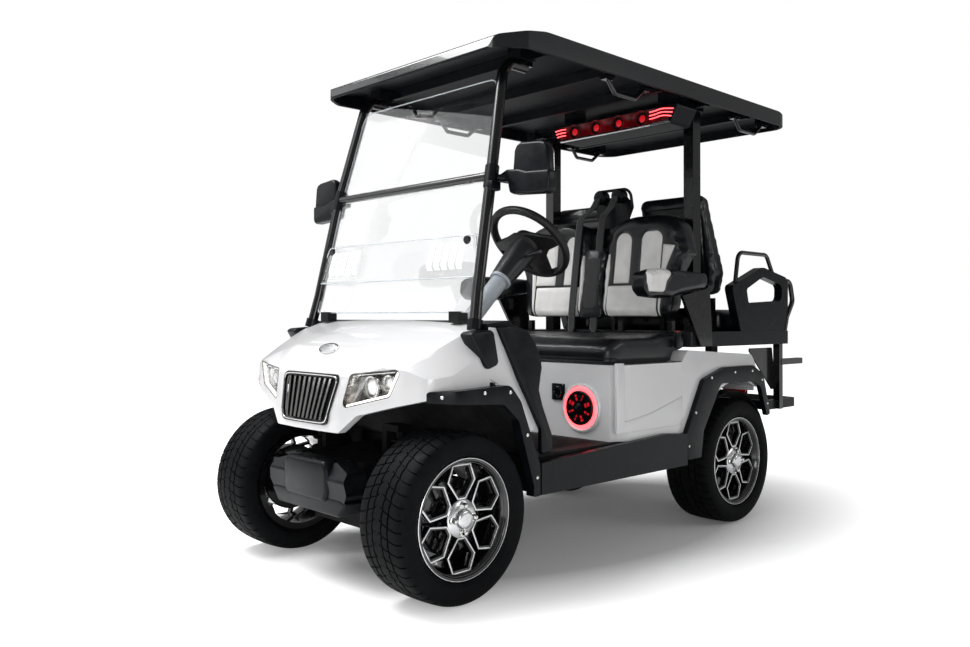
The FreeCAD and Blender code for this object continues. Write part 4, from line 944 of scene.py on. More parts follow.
class CART_OT_seats(bpy.types.Operator):
    """Bench, backs and armrests, stuffed and sewn"""
    bl_idname = "cart.seats"
    bl_label = "Seats"

    def execute(self, context):
        settings = context.scene.cart_seats

        def finished(pad, seam, shows, replaced=()):
            sewn(pad, settings, seam, shows)
            done(pad, two_tone_vinyl, slot="seat_leather", stands_for=replaced)

        backs = upholstered("front_back_pads", nodes["front_backs"], settings, 5, back_form)
        finished(backs, lambda p: back_inserts(p.x / MM, p.z / MM), forward, ("front_backs",))

        centre = plate("centre_form", [(-60, 905), (-71, 930), (-67, 1222), (-48, 1247), (48, 1247), (67, 1222),
                                       (71, 930), (60, 905)], "XZ", 480, 512, 6)
        for vertex in centre.data.vertices:  # it leans as the backs do
            vertex.co.y += 68 * (vertex.co.z - 905 * MM) / 499
        centre_pad = upholstered("centre_back_pad", centre, settings, 1, smoothing=4, voxel=0.006)
        bpy.data.objects.remove(centre)
        finished(centre_pad, lambda p: FAR, forward)

        def bench_seam(p):
            x, z = abs(p.x / MM), p.z / MM
            return min(abs(x - 9) if z > 800 else FAR, abs(z - 752) if x < 530 else FAR)

        bench = upholstered("front_bench_pad", nodes["front_cushion"], settings, -1, travel=0.007, smoothing=34,
                            sleek=10)
        finished(bench, bench_seam, upward, ("front_cushion",))

        def rear_seam(p):
            return min(abs(rounded_rectangle(abs(p.x / MM), p.z / MM, 90, 430, 1050, 1420, 60)), FAR)

        rear_backs = upholstered("rear_back_pads", nodes["rear_backs"], settings, 5)
        finished(rear_backs, rear_seam, lambda normal, place: abs(normal.y) > 0.3, ("rear_backs",))

        def rear_bench_seam(p):
            x, y = abs(p.x / MM), p.y / MM - AXLES_MIDDLE
            return min(abs(x - 10), abs(y - 1290)) if p.z / MM > 900 else FAR

        rear = upholstered("rear_bench_pad", nodes["rear_cushion"], settings, 0, travel=0.007, smoothing=20, sleek=10)
        finished(rear, rear_bench_seam, upward, ("rear_cushion",))

        def arm_insert(p):
            return polygon(p.y / MM - AXLES_MIDDLE, p.z / MM,
                           [(170, 1130), (352, 1130), (346, 1104), (306, 1066), (286, 1018), (184, 1020), (170, 1056)])

        arms = upholstered("armrest_pads", nodes["armrests"], settings, 3, travel=0.007, voxel=0.005)
        finished(arms, arm_insert, lambda normal, place: normal.x * place.x > 0 and abs(normal.x) > 0.15,
                 ("armrests",))
        return {"FINISHED"}


# ---------------------------------------------------------------- front end

FRONT_AXLE = middle("tyre_fl").y / MM - AXLES_MIDDLE
REAR_AXLE = middle("tyre_rl").y / MM - AXLES_MIDDLE
NOSE = FRONT_AXLE - 235
AHEAD = (0, -1, 0)
LAMP = ((207, 612), (225, 727), (441, 751), (394, 658))  # corners of a headlamp, x and z


def surface(node, start, way):
    """Where a ray from a point in millimetres first meets a CAD node, in millimetres."""
    hit, place, *_ = nodes[node].ray_cast(at(*start), Vector(way))
    if not hit:
        raise RuntimeError(f"{node} isn't in the way of the ray from {start}")
    return Vector((place.x / MM, place.y / MM - AXLES_MIDDLE, place.z / MM))


def in_lamp(x, z, behind):
    """A point behind the lamp's cover, which follows the cowl."""
    return (x, surface("headlamps", (x, NOSE - 200, z), (0, 1, 0)).y + behind, z)


def on_grille(line, forward):
    """Points of (x, z) laid on the grille, moved forward by some millimetres."""
    return [(x, surface("grille", (x, NOSE - 200, z), (0, 1, 0)).y - forward, z) for x, z in line]


def lamp_corner(index, inset):
    """A lamp corner moved towards the lamp's middle."""
    corner, centre = Vector(LAMP[index]), Vector((319, 688))
    return corner + (centre - corner).normalized() * inset


def both_sides(name, pieces):
    """Pieces of the left side and their mirror images, as one piece."""
    return joined(name, pieces + [copied(piece, piece.name + "_right", MIRROR) for piece in pieces])


def part_of(node, name, keep):
    """The faces of a CAD node whose normals pass the rule, as a thin shell."""
    shell = bare_copy(nodes[node], name, 0.00002)
    with Edit(shell) as work:
        work.pick("faces", lambda face: not keep(face.normal))
        bpy.ops.mesh.delete(type="FACE")
    return shell


def button_head(name, place, axis, radius=6.5):
    """Head of a round screw that stands on a surface."""
    return turned(name, [(0, 0), (0, radius), (radius * 0.35, radius * 0.9), (radius * 0.5, radius * 0.45),
                         (radius * 0.4, radius * 0.4), (radius * 0.25, 0)], axis, place, 20)


class CART_OT_front_end(bpy.types.Operator):
    """Headlamps, grille screen and bars, blank badge and bumper face"""
    bl_idname = "cart.front_end"
    bl_label = "Front end"

    def execute(self, context):
        glass = part_of("headlamps", "headlamp_covers", lambda normal: normal.y < -0.3)
        modify(glass, "SOLIDIFY", thickness=2.2 * MM, offset=-1)
        bowl = part_of("headlamps", "headlamp_bowls", lambda normal: normal.y > -0.3)
        modify(bowl, "SOLIDIFY", thickness=3 * MM, offset=-1)

        main = in_lamp(300, 686, 34)
        small = in_lamp(372, 702, 30)
        rings = [turned("lamp_ring", [(-14, r - 5), (-14, r - 1), (10, r + 2), (12, r), (11, r - 4), (-6, r - 7)],
                        AHEAD, centre, 48) for centre, r in ((main, 36), (small, 26))]
        lenses = [turned("lamp_lens", [(-8, 0.1), (-8, r), (0, r * 0.95), (r * 0.34, r * 0.7), (r * 0.5, r * 0.36),
                                       (r * 0.54, 0.1)], AHEAD, centre, 40)
                  for centre, r in ((main, 28), (small, 18))]
        # bright reflector sheet between the two lamps and the top of the bowl
        fins = [ribbon("lamp_fin", [in_lamp(236 + 7 * step, 632 + 11 * step, 20), in_lamp(250 + 7 * step, 718, 34)],
                       (1, 0.4, 0), 3, 1.5) for step in range(5)]
        shade = [plate("lamp_shade", [lamp_corner(i, 4) for i in (1, 2)] + [lamp_corner(2, 34), lamp_corner(1, 30)],
                       "XZ", main[1] + 4, main[1] + 8, 1)]
        guide_line = [lamp_corner(0, 14), lamp_corner(0, 14) * 0.2 + lamp_corner(3, 12) * 0.8, lamp_corner(3, 10),
                      lamp_corner(3, 12) * 0.8 + lamp_corner(2, 20) * 0.2, lamp_corner(2, 22)]
        guide = tube("lamp_guide", [in_lamp(p.x, p.y, 10) for p in guide_line], 5.4, turns=4)
        upper_line = [lamp_corner(0, 22) * 0.35 + lamp_corner(1, 16) * 0.65, lamp_corner(1, 14), lamp_corner(2, 22)]
        trim = tube("lamp_trim", [in_lamp(p.x, p.y, 9) for p in upper_line], 2.2, order=2)

        done(glass, lamp_glass, stands_for=("headlamps",))
        # the bowls' colour carries painted shade and painted reflections
        done(smooth(bowl, 30), reflector_shell, stands_for=("headlamps",))
        done(both_sides("headlamp_rings", rings + fins + [trim]), chrome_plate)
        done(both_sides("headlamp_lenses", lenses), projector_lens)
        done(both_sides("headlamp_shades", shade), lacquered_alloy)
        done(both_sides("headlamp_light_guides", [guide]), white_light)

        screen = ribbon("grille_screen", [(0, NOSE + 20, 552), (0, NOSE + 36, 636), (0, NOSE + 56, 724)],
                        (1, 0, 0), 332, 3)
        done(screen, moulded_plastic)
        low, high = (surface("cowl", (0, FRONT_AXLE - shift, 1000), (0, 0, -1)) for shift in (160, 108))
        slope = math.atan2(high.z - low.z, high.y - low.y)
        centre = surface("cowl", (0, FRONT_AXLE - 134, 1000), (0, 0, -1)) + Vector((0, 0, 1))
        ovals = []
        for name, across, along, thick in (("hood_badge_rim", 57, 25, 7), ("hood_badge_field", 49, 18.5, 8.5)):
            deselect()
            bpy.ops.mesh.primitive_cylinder_add(vertices=72, radius=1, depth=1, location=at(*centre),
                                                scale=(across * MM, along * MM, thick * MM), rotation=(slope, 0, 0))
            ovals.append(modify(started(name), "BEVEL", width=1.6 * MM, segments=3, limit_method="ANGLE"))
        done(smooth(ovals[0]), chrome_plate)
        done(smooth(ovals[1]), satin_silver)

        face = surface("bumper", (0, NOSE - 300, 350), (0, 1, 0)).y
        panel = plate("bumper_panel", [(-120, 292), (-140, 330), (-134, 404), (-116, 430), (116, 430), (134, 404),
                                       (140, 330), (120, 292)], "XZ", face - 7, face + 60, 14, 4)
        lip = plate("bumper_lip", [(-236, 300), (-200, 262), (-190, 250), (190, 250), (200, 262), (236, 300),
                                   (200, 312), (-200, 312)], "XZ", face + 4, face + 80, 9, 3)
        done(joined("bumper_face", [panel, lip]), moulded_plastic)
        bars = []
        for step in range(-4, 5):
            line = [(step * (25.6 + 0.0427 * (z - 562)), z) for z in (568, 600, 640, 680, 706)]
            bars.append(ribbon("grille_face", on_grille(line, 0.6), (1, 0, 0), 9.5, 1.6))
        ring = [(-168, 716), (168, 716), (134, 558), (-134, 558)]
        edge = [(a[0] + (b[0] - a[0]) * share, a[1] + (b[1] - a[1]) * share) for a, b in zip(ring, ring[1:] + ring[:1])
                for share in (0.06, 0.35, 0.65, 0.94)]
        rim = tube("grille_rim", on_grille(edge, 0.5), 2.4, closed=True, turns=2)
        done(joined("grille_bright_faces", bars + [rim]), chrome_plate)
        return {"FINISHED"}


# ---------------------------------------------------------------- windscreen and mirrors

STRUT = ((496, FRONT_AXLE + 109, 884), (482, FRONT_AXLE + 135, 1000), (460, FRONT_AXLE + 218, 1397),
         (419, FRONT_AXLE + 313, 1790))  # centre line of the left strut


def on_strut(height, inset=0.0, forward=0.0):
    """A point at a height beside the strut's centre line."""
    for low, high in zip(STRUT, STRUT[1:]):
        if height <= high[2]:
            break
    share = (height - low[2]) / (high[2] - low[2])
    return (low[0] + (high[0] - low[0]) * share - inset, low[1] + (high[1] - low[1]) * share - forward, height)


def mirrored_x(points):
    """The same line on the other side, run backwards."""
    return [(-x, y, z) for x, y, z in reversed(points)]


class CART_OT_windscreen(bpy.types.Operator):
    """Vent louvres, painted highlight lines along the pane edges, and mirrors"""
    bl_idname = "cart.windscreen"
    bl_label = "Windscreen and mirrors"

    def execute(self, context):
        louvres = []
        for slot in range(5):
            x = 390 - 40 * slot
            low, high = (surface("windscreen", (x + 20, FRONT_AXLE - 200, z), (0, 1, 0)).y for z in (1084, 1172))
            louvres.append(ribbon("louvre", [(x, low + 1, 1082), (x, low - 6, 1096), (x, high - 6, 1160),
                                             (x, high + 1, 1174)], (1, 0, 0), 26, 2.5))
        # the louvres' material carries a painted glow
        done(both_sides("vent_louvres", louvres), frosted_polycarbonate)

        # a cut edge of clear sheet gathers light and reads as a bright line; these pale grey tubes are that highlight,
        # painted
        top = [on_strut(1420, 18), on_strut(1600, 18), on_strut(1700, 18), on_strut(1752, 22), on_strut(1772, 44),
               on_strut(1773, 90), on_strut(1773, 220)]
        bottom = [on_strut(932, 150), on_strut(932, 60), on_strut(934, 22), on_strut(960, 19), on_strut(1200, 19),
                  on_strut(1360, 19)]
        vent = [on_strut(1052, 16, 14), on_strut(1052, 60, 14), on_strut(1052, 250, 14)]
        vent_top = [on_strut(1160, 19, 14), on_strut(1196, 22, 14), on_strut(1199, 50, 14), on_strut(1199, 250, 14)]
        edge_highlight_lines = [tube("bead", half + mirrored_x(half), radius, turns=turns)
                 for half, radius, turns in ((top, 2.4, 3), (vent, 2.6, 2), (vent_top, 2.2, 2), (bottom[::-1], 2.2, 2))]
        # the hinge bar reads pale grey: partly its own light grey, partly painted highlight
        x, y, z = on_strut(1404, 16)
        hinge = tube("screen_hinge", [(x, y, z), (0, y, z), (-x, y, z)], 16.4, order=2)
        done(hinge, pale_grey_and_painted_highlight)
        done(joined("screen_edges", edge_highlight_lines), pale_grey_and_painted_highlight)

        level = FRONT_AXLE + 268
        shell = plate("mirror_shell", [(530, 1396), (538, 1484), (548, 1503), (568, 1512), (660, 1504), (682, 1497),
                                       (691, 1480), (700, 1396)], "XZ", level - 20, level + 16, 11, 4)
        skirt = plate("mirror_skirt", [(468, 1382), (470, 1410), (505, 1424), (560, 1420), (600, 1408), (704, 1402),
                                       (703, 1345), (698, 1332), (684, 1326), (540, 1335), (520, 1342), (516, 1360),
                                       (512, 1380)], "XZ", level - 25, level + 20, 9, 4)
        neck = tube("mirror_neck", [on_strut(1398), (490, level - 14, 1397), (530, level, 1397)], 12)
        clamp = tube("mirror_clamp", [on_strut(1362), on_strut(1440)], 25, order=2)
        knuckle = block("mirror_knuckle", (452, FRONT_AXLE + 190, 1350), (492, FRONT_AXLE + 236, 1384), 6)
        done(both_sides("mirror_shells", [shell, skirt, neck, clamp, knuckle]), moulded_plastic,
             stands_for=("mirrors",))
        glass = plate("mirror_glass", [(538, 1350), (545, 1480), (566, 1500), (674, 1490), (688, 1470), (692, 1346)],
                      "XZ", level + 18, level + 21, 1)
        done(both_sides("mirror_glasses", [glass]), chrome_plate)
        return {"FINISHED"}


# ---------------------------------------------------------------- cabin: wheel, column, belts, speakers

WHEEL = (250, -194, 1212)  # middle of the steering wheel
COLUMN_ANGLE = math.radians(44)


def on_column(x, y, z):
    """Turn millimetre coordinates on the steering wheel, z along the column, into the cart's."""
    return (WHEEL[0] + x, WHEEL[1] + y * math.sin(COLUMN_ANGLE) + z * math.cos(COLUMN_ANGLE),
            WHEEL[2] - y * math.cos(COLUMN_ANGLE) + z * math.sin(COLUMN_ANGLE))


def turned_to_column(piece):
    """Lay a piece that was made flat round the origin on the steering wheel."""
    for vertex in piece.data.vertices:
        x, y, z = vertex.co.x / MM, vertex.co.y / MM - AXLES_MIDDLE, vertex.co.z / MM
        vertex.co = at(*on_column(x, -y, z))
    return outward(piece)


class CART_OT_cabin(bpy.types.Operator):
    """Steering wheel, belts, speakers and sound bar lights"""
    bl_idname = "cart.cabin"
    bl_label = "Cabin"

    def wheel(self):
        deselect()
        bpy.ops.mesh.primitive_torus_add(location=at(0, 0, 0), major_radius=163.5 * MM, minor_radius=16.4 * MM,
                                         major_segments=96, minor_segments=20)
        rim = started("wheel_rim")
        spokes = plate("wheel_spokes", [(-160, 26), (-158, -14), (-92, -34), (-58, -66), (-36, -160), (36, -160),
                                        (58, -66), (92, -34), (158, -14), (160, 26), (84, 44), (40, 60), (-40, 60),
                                        (-84, 44)], "XY", -20, -4, 6, 3)
        hub = turned("wheel_hub", [(-42, 0.1), (-42, 34), (-30, 40), (-12, 60), (2, 62), (10, 52), (13, 30), (14, 0.1)],
                     (0, 0, 1), (0, 0, 0), 64)
        pieces = [turned_to_column(smooth(piece, 40)) for piece in (rim, spokes, hub)]
        done(joined("steering_wheel_grip", pieces), grip_cover, "steering", stands_for=("steering_wheel",))
        thumbs = [turned_to_column(plate("thumb_pad", [(side * 66, 16), (side * 112, 18), (side * 140, 8),
                                                       (side * 140, -4), (side * 84, -14)], "XY", -5, -2.5, 1))
                  for side in (-1, 1)]
        done(joined("steering_wheel_inlays", thumbs), satin_silver, "steering")

    def belts(self):
        def front_of_backs(z):
            return 492 + 68 * (z - 905) / 499

        straps = []
        for reel_x, lap_x in ((-70, -112), (38, 24)):
            drop = [(lap_x, front_of_backs(z) - 13, z) for z in (1340, 1250, 1120, 990, 930)]
            line = [(reel_x, 628, 1500), (reel_x, 616, 1470), ((reel_x * 2 + lap_x) / 3, 596, 1434),
                    ((reel_x + lap_x * 2) / 3, 566, 1412), (lap_x, 548, 1392), *drop, (lap_x, 484, 880),
                    (lap_x, 476, 842)]
            straps.append(subdivided(ribbon("belt_strap", line, (1, 0, 0), 48, 1.6), 1))
        done(joined("belt_straps", straps), webbing)
        reels = [turned("reel_cover", [(-2, 0.1), (-2, 33.5), (6, 34.5), (38, 34.5), (44, 30), (45, 12), (42, 10),
                                       (42, 0.1)], AHEAD, (x, 680, 1502), 48) for x in (-70, 38)]
        done(joined("belt_reel_covers", reels), moulded_plastic)
        latch = block("belt_latch", (541, 372, 790), (559, 402, 858), 4)
        button = block("belt_button", (543, 376, 852), (557, 398, 861), 2)
        done(both_sides("belt_latches", [latch]), moulded_plastic)
        done(both_sides("belt_buttons", [button]), red_acrylic)

    def speakers(self):
        face = surface("seat_pod", (150, -300, 561), (0, 1, 0)).y
        centre = (400, face, 561)

        def spoke(turn, radii, forward):
            """Points on a line out from the speaker's middle, some millimetres before the panel."""
            return [(400 + math.cos(turn) * r, face - forward, 561 + math.sin(turn) * r) for r in radii]

        def across(turn):
            return -math.sin(turn), 0, math.cos(turn)

        ring = turned("speaker_glow", [(0, 68), (0, 84), (7, 84), (11, 80), (12, 74), (9, 68)], AHEAD, centre, 72)
        rim = turned("speaker_rim", [(0, 84), (0, 97), (5, 97), (8, 94), (9, 88), (7, 84)], AHEAD, centre, 72)
        segments = []
        for step in range(8):
            turn = math.radians(45 * step + 20)
            segments.append(ribbon("speaker_segment", spoke(turn, (30, 42, 54), 15.5), across(turn),
                                   8 if step % 3 else 15, 1.5))
        grille = [turned("speaker_rib", [(14, r), (14, r + 3), (18, r + 3), (18, r)], AHEAD, centre, 64)
                  for r in (22, 42, 58)]
        dome = turned("speaker_dome", [(13, 0.1), (13, 20), (17, 19), (21, 12), (23, 0.1)], AHEAD, centre, 40)
        bars = [ribbon("speaker_bar", spoke(turn, (18, 40, 64), 17), across(turn), 5, 2)
                for turn in (math.radians(60 * step) for step in range(6))]
        bezel = turned("speaker_bezel", [(0, 0.1), (0, 68), (15, 68), (18, 64), (17, 60), (14, 58), (14, 0.1)], AHEAD,
                       centre, 72)
        done(both_sides("speaker_light_rings", [ring]), red_light)
        done(both_sides("speaker_segments", segments), dim_red_light)
        done(both_sides("speaker_grilles", grille + [dome, bezel] + bars), moulded_plastic, stands_for=("speakers",))
        done(both_sides("speaker_rims", [rim]), pearl_enamel, stands_for=("speakers",))
        done(block("power_socket", (249, face - 8, 583), (315, face + 1, 650), 3), moulded_plastic,
             stands_for=("speakers",))
        socket = turned("power_socket_lid", [(0, 0.1), (0, 22), (5, 24), (9, 22), (10, 15), (7, 13), (7, 0.1)], AHEAD,
                        (282, face - 7, 616), 48)
        done(socket, lacquered_alloy)
        heads = [button_head("socket_screw", (x, face - 8, z), AHEAD, 3.2) for x in (253, 311) for z in (586, 647)]
        done(joined("socket_screws", heads), chrome_plate)

    def sound_bar(self):
        front = 450
        places = [130 * place - 70 for place in range(4)]
        lights = [turned("bar_light", [(0, 0.1), (0, 16), (2, 15), (4, 9), (5, 0.1)], AHEAD, (x, front + 9, 1797), 40)
                  for x in places]
        done(joined("sound_bar_cones", lights), cone_light)
        rings = [turned("bar_ring", [(-8, 30), (-8, 33.5), (1, 36), (3, 34), (2, 31)], AHEAD, (x, front, 1797), 48)
                 for x in places]
        done(joined("sound_bar_rings", rings), red_haze)
        haze = plate("bar_haze", [(-150, 1768), (-168, 1828), (480, 1828), (462, 1768)], "XZ", front - 1.5,
                     front + 0.5, 0.5)
        for x in places:
            carve(haze, turned("haze_hole", [(-9, 0.1), (-9, 31), (9, 31), (9, 0.1)], AHEAD, (x, front, 1797), 40))
        done(haze, red_haze)
        waves = []
        for row in range(3):
            z = 1786 + 15 * row
            waves.append(tube("bar_wave", [(366, front - 2, z), (396, front - 2, z + 1), (420, front - 2, z + 6),
                                           (446, front - 2, z + 5), (478 + 6 * row, front - 2, z - 3)], 2.3, turns=3))
            waves.append(tube("bar_wave", [(-118, front - 2, z), (-150, front - 2, z + 2),
                                           (-172 - 6 * row, front - 2, z - 2)], 2.3, turns=2))
        done(joined("sound_bar_light_lines", waves), red_light)
        strips = [tube("bar_strip", [(-150, front - 1, 1759), (200, front - 2, 1757), (372, front - 1, 1760)], 4.5),
                  plate("bar_corner", [(372, 1756), (384, 1768), (462, 1768), (474, 1757)], "XZ", front - 3,
                        front + 1, 1)]
        done(joined("sound_bar_trim", strips), satin_silver)

    def execute(self, context):
        self.wheel()
        self.belts()
        self.speakers()
        self.sound_bar()
        return {"FINISHED"}


# ---------------------------------------------------------------- body details

def softened(name, node, width, form=None):
    """A CAD node's form with rounded edges, shaped further by a rule if one is given."""
    piece = bevelled(bare_copy(nodes[node], name, 0.00002), width, 4, 28)
    if form:
        for vertex in piece.data.vertices:
            vertex.co = form(vertex.co)
    return smooth(piece, 40)


def tucked(place):
    """The front tip of a flare bends in behind the cowl."""
    back = max(0, FRONT_AXLE - 70 - (place.y / MM - AXLES_MIDDLE)) / 110
    return place + Vector((-math.copysign(48, place.x) * back * back, 34 * back, 0)) * MM


class CART_OT_body(bpy.types.Operator):
    """Flares with screws, strut covers, kick panels, pod relief, mat and tread ribs, tail lamp bezels"""
    bl_idname = "cart.body"
    bl_label = "Body details"

    def execute(self, context):
        side = surface("seat_pod", (800, 200, 600), (-1, 0, 0)).x
        heads = []
        for node, places in (("front_flares", ((-100, 664), (60, 672), (176, 668), (258, 520), (307, 372))),
                             ("rear_flares", ((-424, 386), (-372, 520), (-250, 660), (-60, 676), (90, 676), (178, 632),
                                              (226, 520)))):
            axle = FRONT_AXLE if node == "front_flares" else REAR_AXLE
            for along, height in places:
                place = surface(node, (800, axle + along, height), (-1, 0, 0))
                if node == "front_flares":
                    place = tucked(at(*place)) / MM - Vector((0, AXLES_MIDDLE, 0))
                heads.append(button_head("flare_screw", place, (1, 0, 0), 6.5))
        done(both_sides("flare_screws", heads), chrome_plate)

        done(softened("front_flare_shells", "front_flares", 11, tucked), moulded_plastic,
             stands_for=("front_flares",))
        done(softened("rear_flare_shells", "rear_flares", 11), moulded_plastic, stands_for=("rear_flares",))
        corners = ((30, 858), (44, 868), (122, 874), (134, 864), (156, 768), (148, 756), (112, 744), (98, 750))
        cover = plate("strut_cover", [(FRONT_AXLE + y, z) for y, z in corners], "YZ", 505, 566, 9, 4)
        collar = tube("strut_collar", [on_strut(872), on_strut(906)], 27, order=2)
        corners = ((155, 880), (200, 889), (250, 884), (296, 866), (330, 828), (358, 778), (364, 740), (356, 700),
                   (350, 664), (368, 610), (417, 505), (417, 441), (363, 441), (361, 528), (250, 705))
        kick = plate("kick_panel", [(FRONT_AXLE + y, z) for y, z in corners], "YZ", 545, 568, 7, 4)
        done(both_sides("strut_covers", [cover, collar]), moulded_plastic, stands_for=("cowl_trim",))
        done(both_sides("kick_panels", [kick]), moulded_plastic, stands_for=("cowl_trim",))

        done(softened("cowl_shell", "cowl", 5), pearl_enamel, stands_for=("cowl",))
        done(softened("rear_body_shell", "rear_body", 4), pearl_enamel, stands_for=("rear_body",))
        arc = [(490, REAR_AXLE + 312 * math.cos(turn), 276 + 312 * math.sin(turn))
               for turn in (math.radians(12 * step - 24) for step in range(15))]
        liner = ribbon("arch_liner", arc, (1, 0, 0), 110, 3)
        done(both_sides("rear_arch_liners", [liner]), chassis_paint)
        guard = block("splash_guard", (430, FRONT_AXLE + 318, 314), (566, FRONT_AXLE + 324, 440), 2)
        done(both_sides("splash_guards", [guard]), chassis_paint)

        corner = surface("seat_pod", (150, -300, 561), (0, 1, 0)).y
        relief = plate("pod_relief", [(corner - 2, 741), (corner + 40, 741), (corner + 40, 716), (corner + 48, 700),
                                      (corner + 46, 516), (30, 520), (177, 541), (384, 592), (384, 474),
                                      (corner - 2, 474)], "YZ", side - 12, side + 3.2, 2.6, 4)
        done(both_sides("pod_reliefs", [relief]), pearl_enamel)

        mat_top = surface("floor", (0, -250, 690), (0, 0, -1)).z
        mat = [block("mat_sheet", (-500, -430, mat_top), (500, -90, mat_top + 2), 0.8)]
        mat += [block("mat_rib", (-490, y, mat_top + 1), (490, y + 7, mat_top + 5), 1.5)
                for y in range(-420, -96, 18)]
        done(joined("floor_mat", mat), floor_rubber)
        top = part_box("footrest")[1].z / MM
        ribs = [block("tread_rib", (-440, y, top - 1), (440, y + 8, top + 3), 1.5) for y in range(1300, 1564, 22)]
        done(joined("footrest_tread", ribs), floor_rubber)

        lamp_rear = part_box("tail_lamps")[1].y / MM - AXLES_MIDDLE
        bezels = [plate("lamp_bezel", [(376, 556), (376, 644), (504, 644), (504, 556)], "XZ", lamp_rear - 6,
                        lamp_rear - 3, 2)]
        clear = [plate("reverse_lens", [(412, 586), (412, 614), (468, 614), (468, 586)], "XZ", lamp_rear - 2,
                       lamp_rear + 2, 1.2)]
        done(both_sides("tail_lamp_bezels", bezels), lacquered_alloy)
        done(both_sides("reversing_lenses", clear), projector_lens)

        guards = []
        for x, width in ((185, 60), (300, 90)):
            low, high = x - width / 2 + 5, x + width / 2 - 5
            for row in range(5):
                place = surface("pedals", (x, -100, 547 + row * 12), AHEAD)
                guards.append(ribbon("pedal_rib", [(low, place.y + 1.5, place.z), (high, place.y + 1.5, place.z)],
                                     (0, 0.5, 0.86), 5, 3))
        done(joined("pedal_ribs", guards), floor_rubber)
        return {"FINISHED"}


# ---------------------------------------------------------------- CAD nodes that stay

class CART_OT_finishes(bpy.types.Operator):
    """Give every CAD node its real finish"""
    bl_idname = "cart.finishes"
    bl_label = "Finish the CAD nodes"

    def execute(self, context):
        table = {
            pearl_enamel: ["cowl", "seat_pod", "rear_body"],
            moulded_plastic: ["bumper", "front_flares", "rear_flares", "sills", "cowl_trim", "dashboard", "deck",
                              "footrest", "hip_restraints", "speakers", "mirrors", "seat_belts"],
            roof_plastic: ["roof", "sound_bar"],
            chassis_paint: ["frame", "front_suspension", "rear_suspension", "rear_axle", "tie_rods", "knuckle_left",
                            "knuckle_right"],
            powder_coat: ["front_struts", "rear_posts", "guard_rails", "roof_handles", "seat_brackets", "step_frame",
                          "windscreen_fittings"],
            black_nickel: ["grille"],
            machined_alloy: ["rim_fl", "rim_fr", "rim_rl", "rim_rr"],
            tyre_rubber: ["tyre_fl", "tyre_fr", "tyre_rl", "tyre_rr"],
            clear_polycarbonate: ["windscreen"],
            lamp_glass: ["headlamps"],
            red_acrylic: ["tail_lamps"],
            black_vinyl: ["front_cushion", "front_backs", "rear_backs", "rear_cushion", "armrests"],
            grip_cover: ["steering_wheel"],
            column_sleeve: ["steering_column"],
            floor_rubber: ["floor", "pedals"],
            cast_alloy: ["motor"],
            battery_plastic: ["battery"],
        }
        for make, names in table.items():
            for name in names:
                slots = nodes[name].data.materials
                slots.clear()
                slots.append(finish(make))
        # moulded and pressed parts have no knife edges
        for name, width in (("seat_pod", 4), ("sills", 7), ("dashboard", 5), ("bumper", 7), ("hip_restraints", 6),
                            ("deck", 5), ("footrest", 4), ("roof", 3)):
            bevel = nodes[name].modifiers.new("soft_edges", "BEVEL")
            bevel.width, bevel.segments, bevel.limit_method = width * MM, 3, "ANGLE"
            bevel.angle_limit = math.radians(28)
        return {"FINISHED"}


# ---------------------------------------------------------------- floor, light and camera

class StageSettings(bpy.types.PropertyGroup):
    lens: FloatProperty(name="Lens", description="Focal length for a 36 mm wide sensor", default=32.17, unit="CAMERA")
    eye: FloatVectorProperty(name="Eye", description="Where the camera stands", subtype="TRANSLATION", unit="LENGTH",
                             default=(2.6087, -2.92985, 0.9136))
    shift: FloatVectorProperty(name="Shift", description="Lens shift, as a share of the sensor's width", size=2,
                               default=(-0.00634021, -0.02202062))
    heading: FloatProperty(name="Heading", description="Turn of the view from straight back to the cart's right",
                           default=math.radians(45.985), subtype="ANGLE")
    rise: FloatProperty(name="Rise", description="Upward tilt of the view", default=math.radians(1.031),
                        subtype="ANGLE")
    lean: FloatProperty(name="Lean", description="Roll of the camera", default=math.radians(0.1465), subtype="ANGLE")
    floor_colour: FloatVectorProperty(name="Floor", description="Colour of the studio floor", subtype="COLOR",
                                      default=linear("F4F4F4")[:3])


LIGHTS = (  # name, place, aim, width, height, watts
    ("key_light", (-0.9, -5.6, 4.2), (0, 0, 0.7), 3.0, 2.4, 60),
    ("fill_light", (-4.5, -3.5, 3.0), (0, 0, 0.8), 3.0, 3.0, 30),
    ("side_light", (5.0, 2.4, 2.6), (0, 0, 0.8), 3.4, 1.2, 36),
    ("top_light", (-1.9, -2.6, 5.0), (0, -0.8, 0.8), 3.6, 2.6, 350),
    ("low_light", (3.6, -3.3, 1.3), (0.2, 0, 0.7), 1.6, 1.2, 34),
)


def softbox(name, place, aim, width, height, power):
    deselect()
    bpy.ops.object.light_add(type="AREA", location=place)
    lamp = bpy.context.object
    lamp.name = name
    lamp.data.shape, lamp.data.size, lamp.data.size_y, lamp.data.energy = "RECTANGLE", width, height, power
    lamp.rotation_euler = (Vector(aim) - Vector(place)).to_track_quat("-Z", "Y").to_euler()


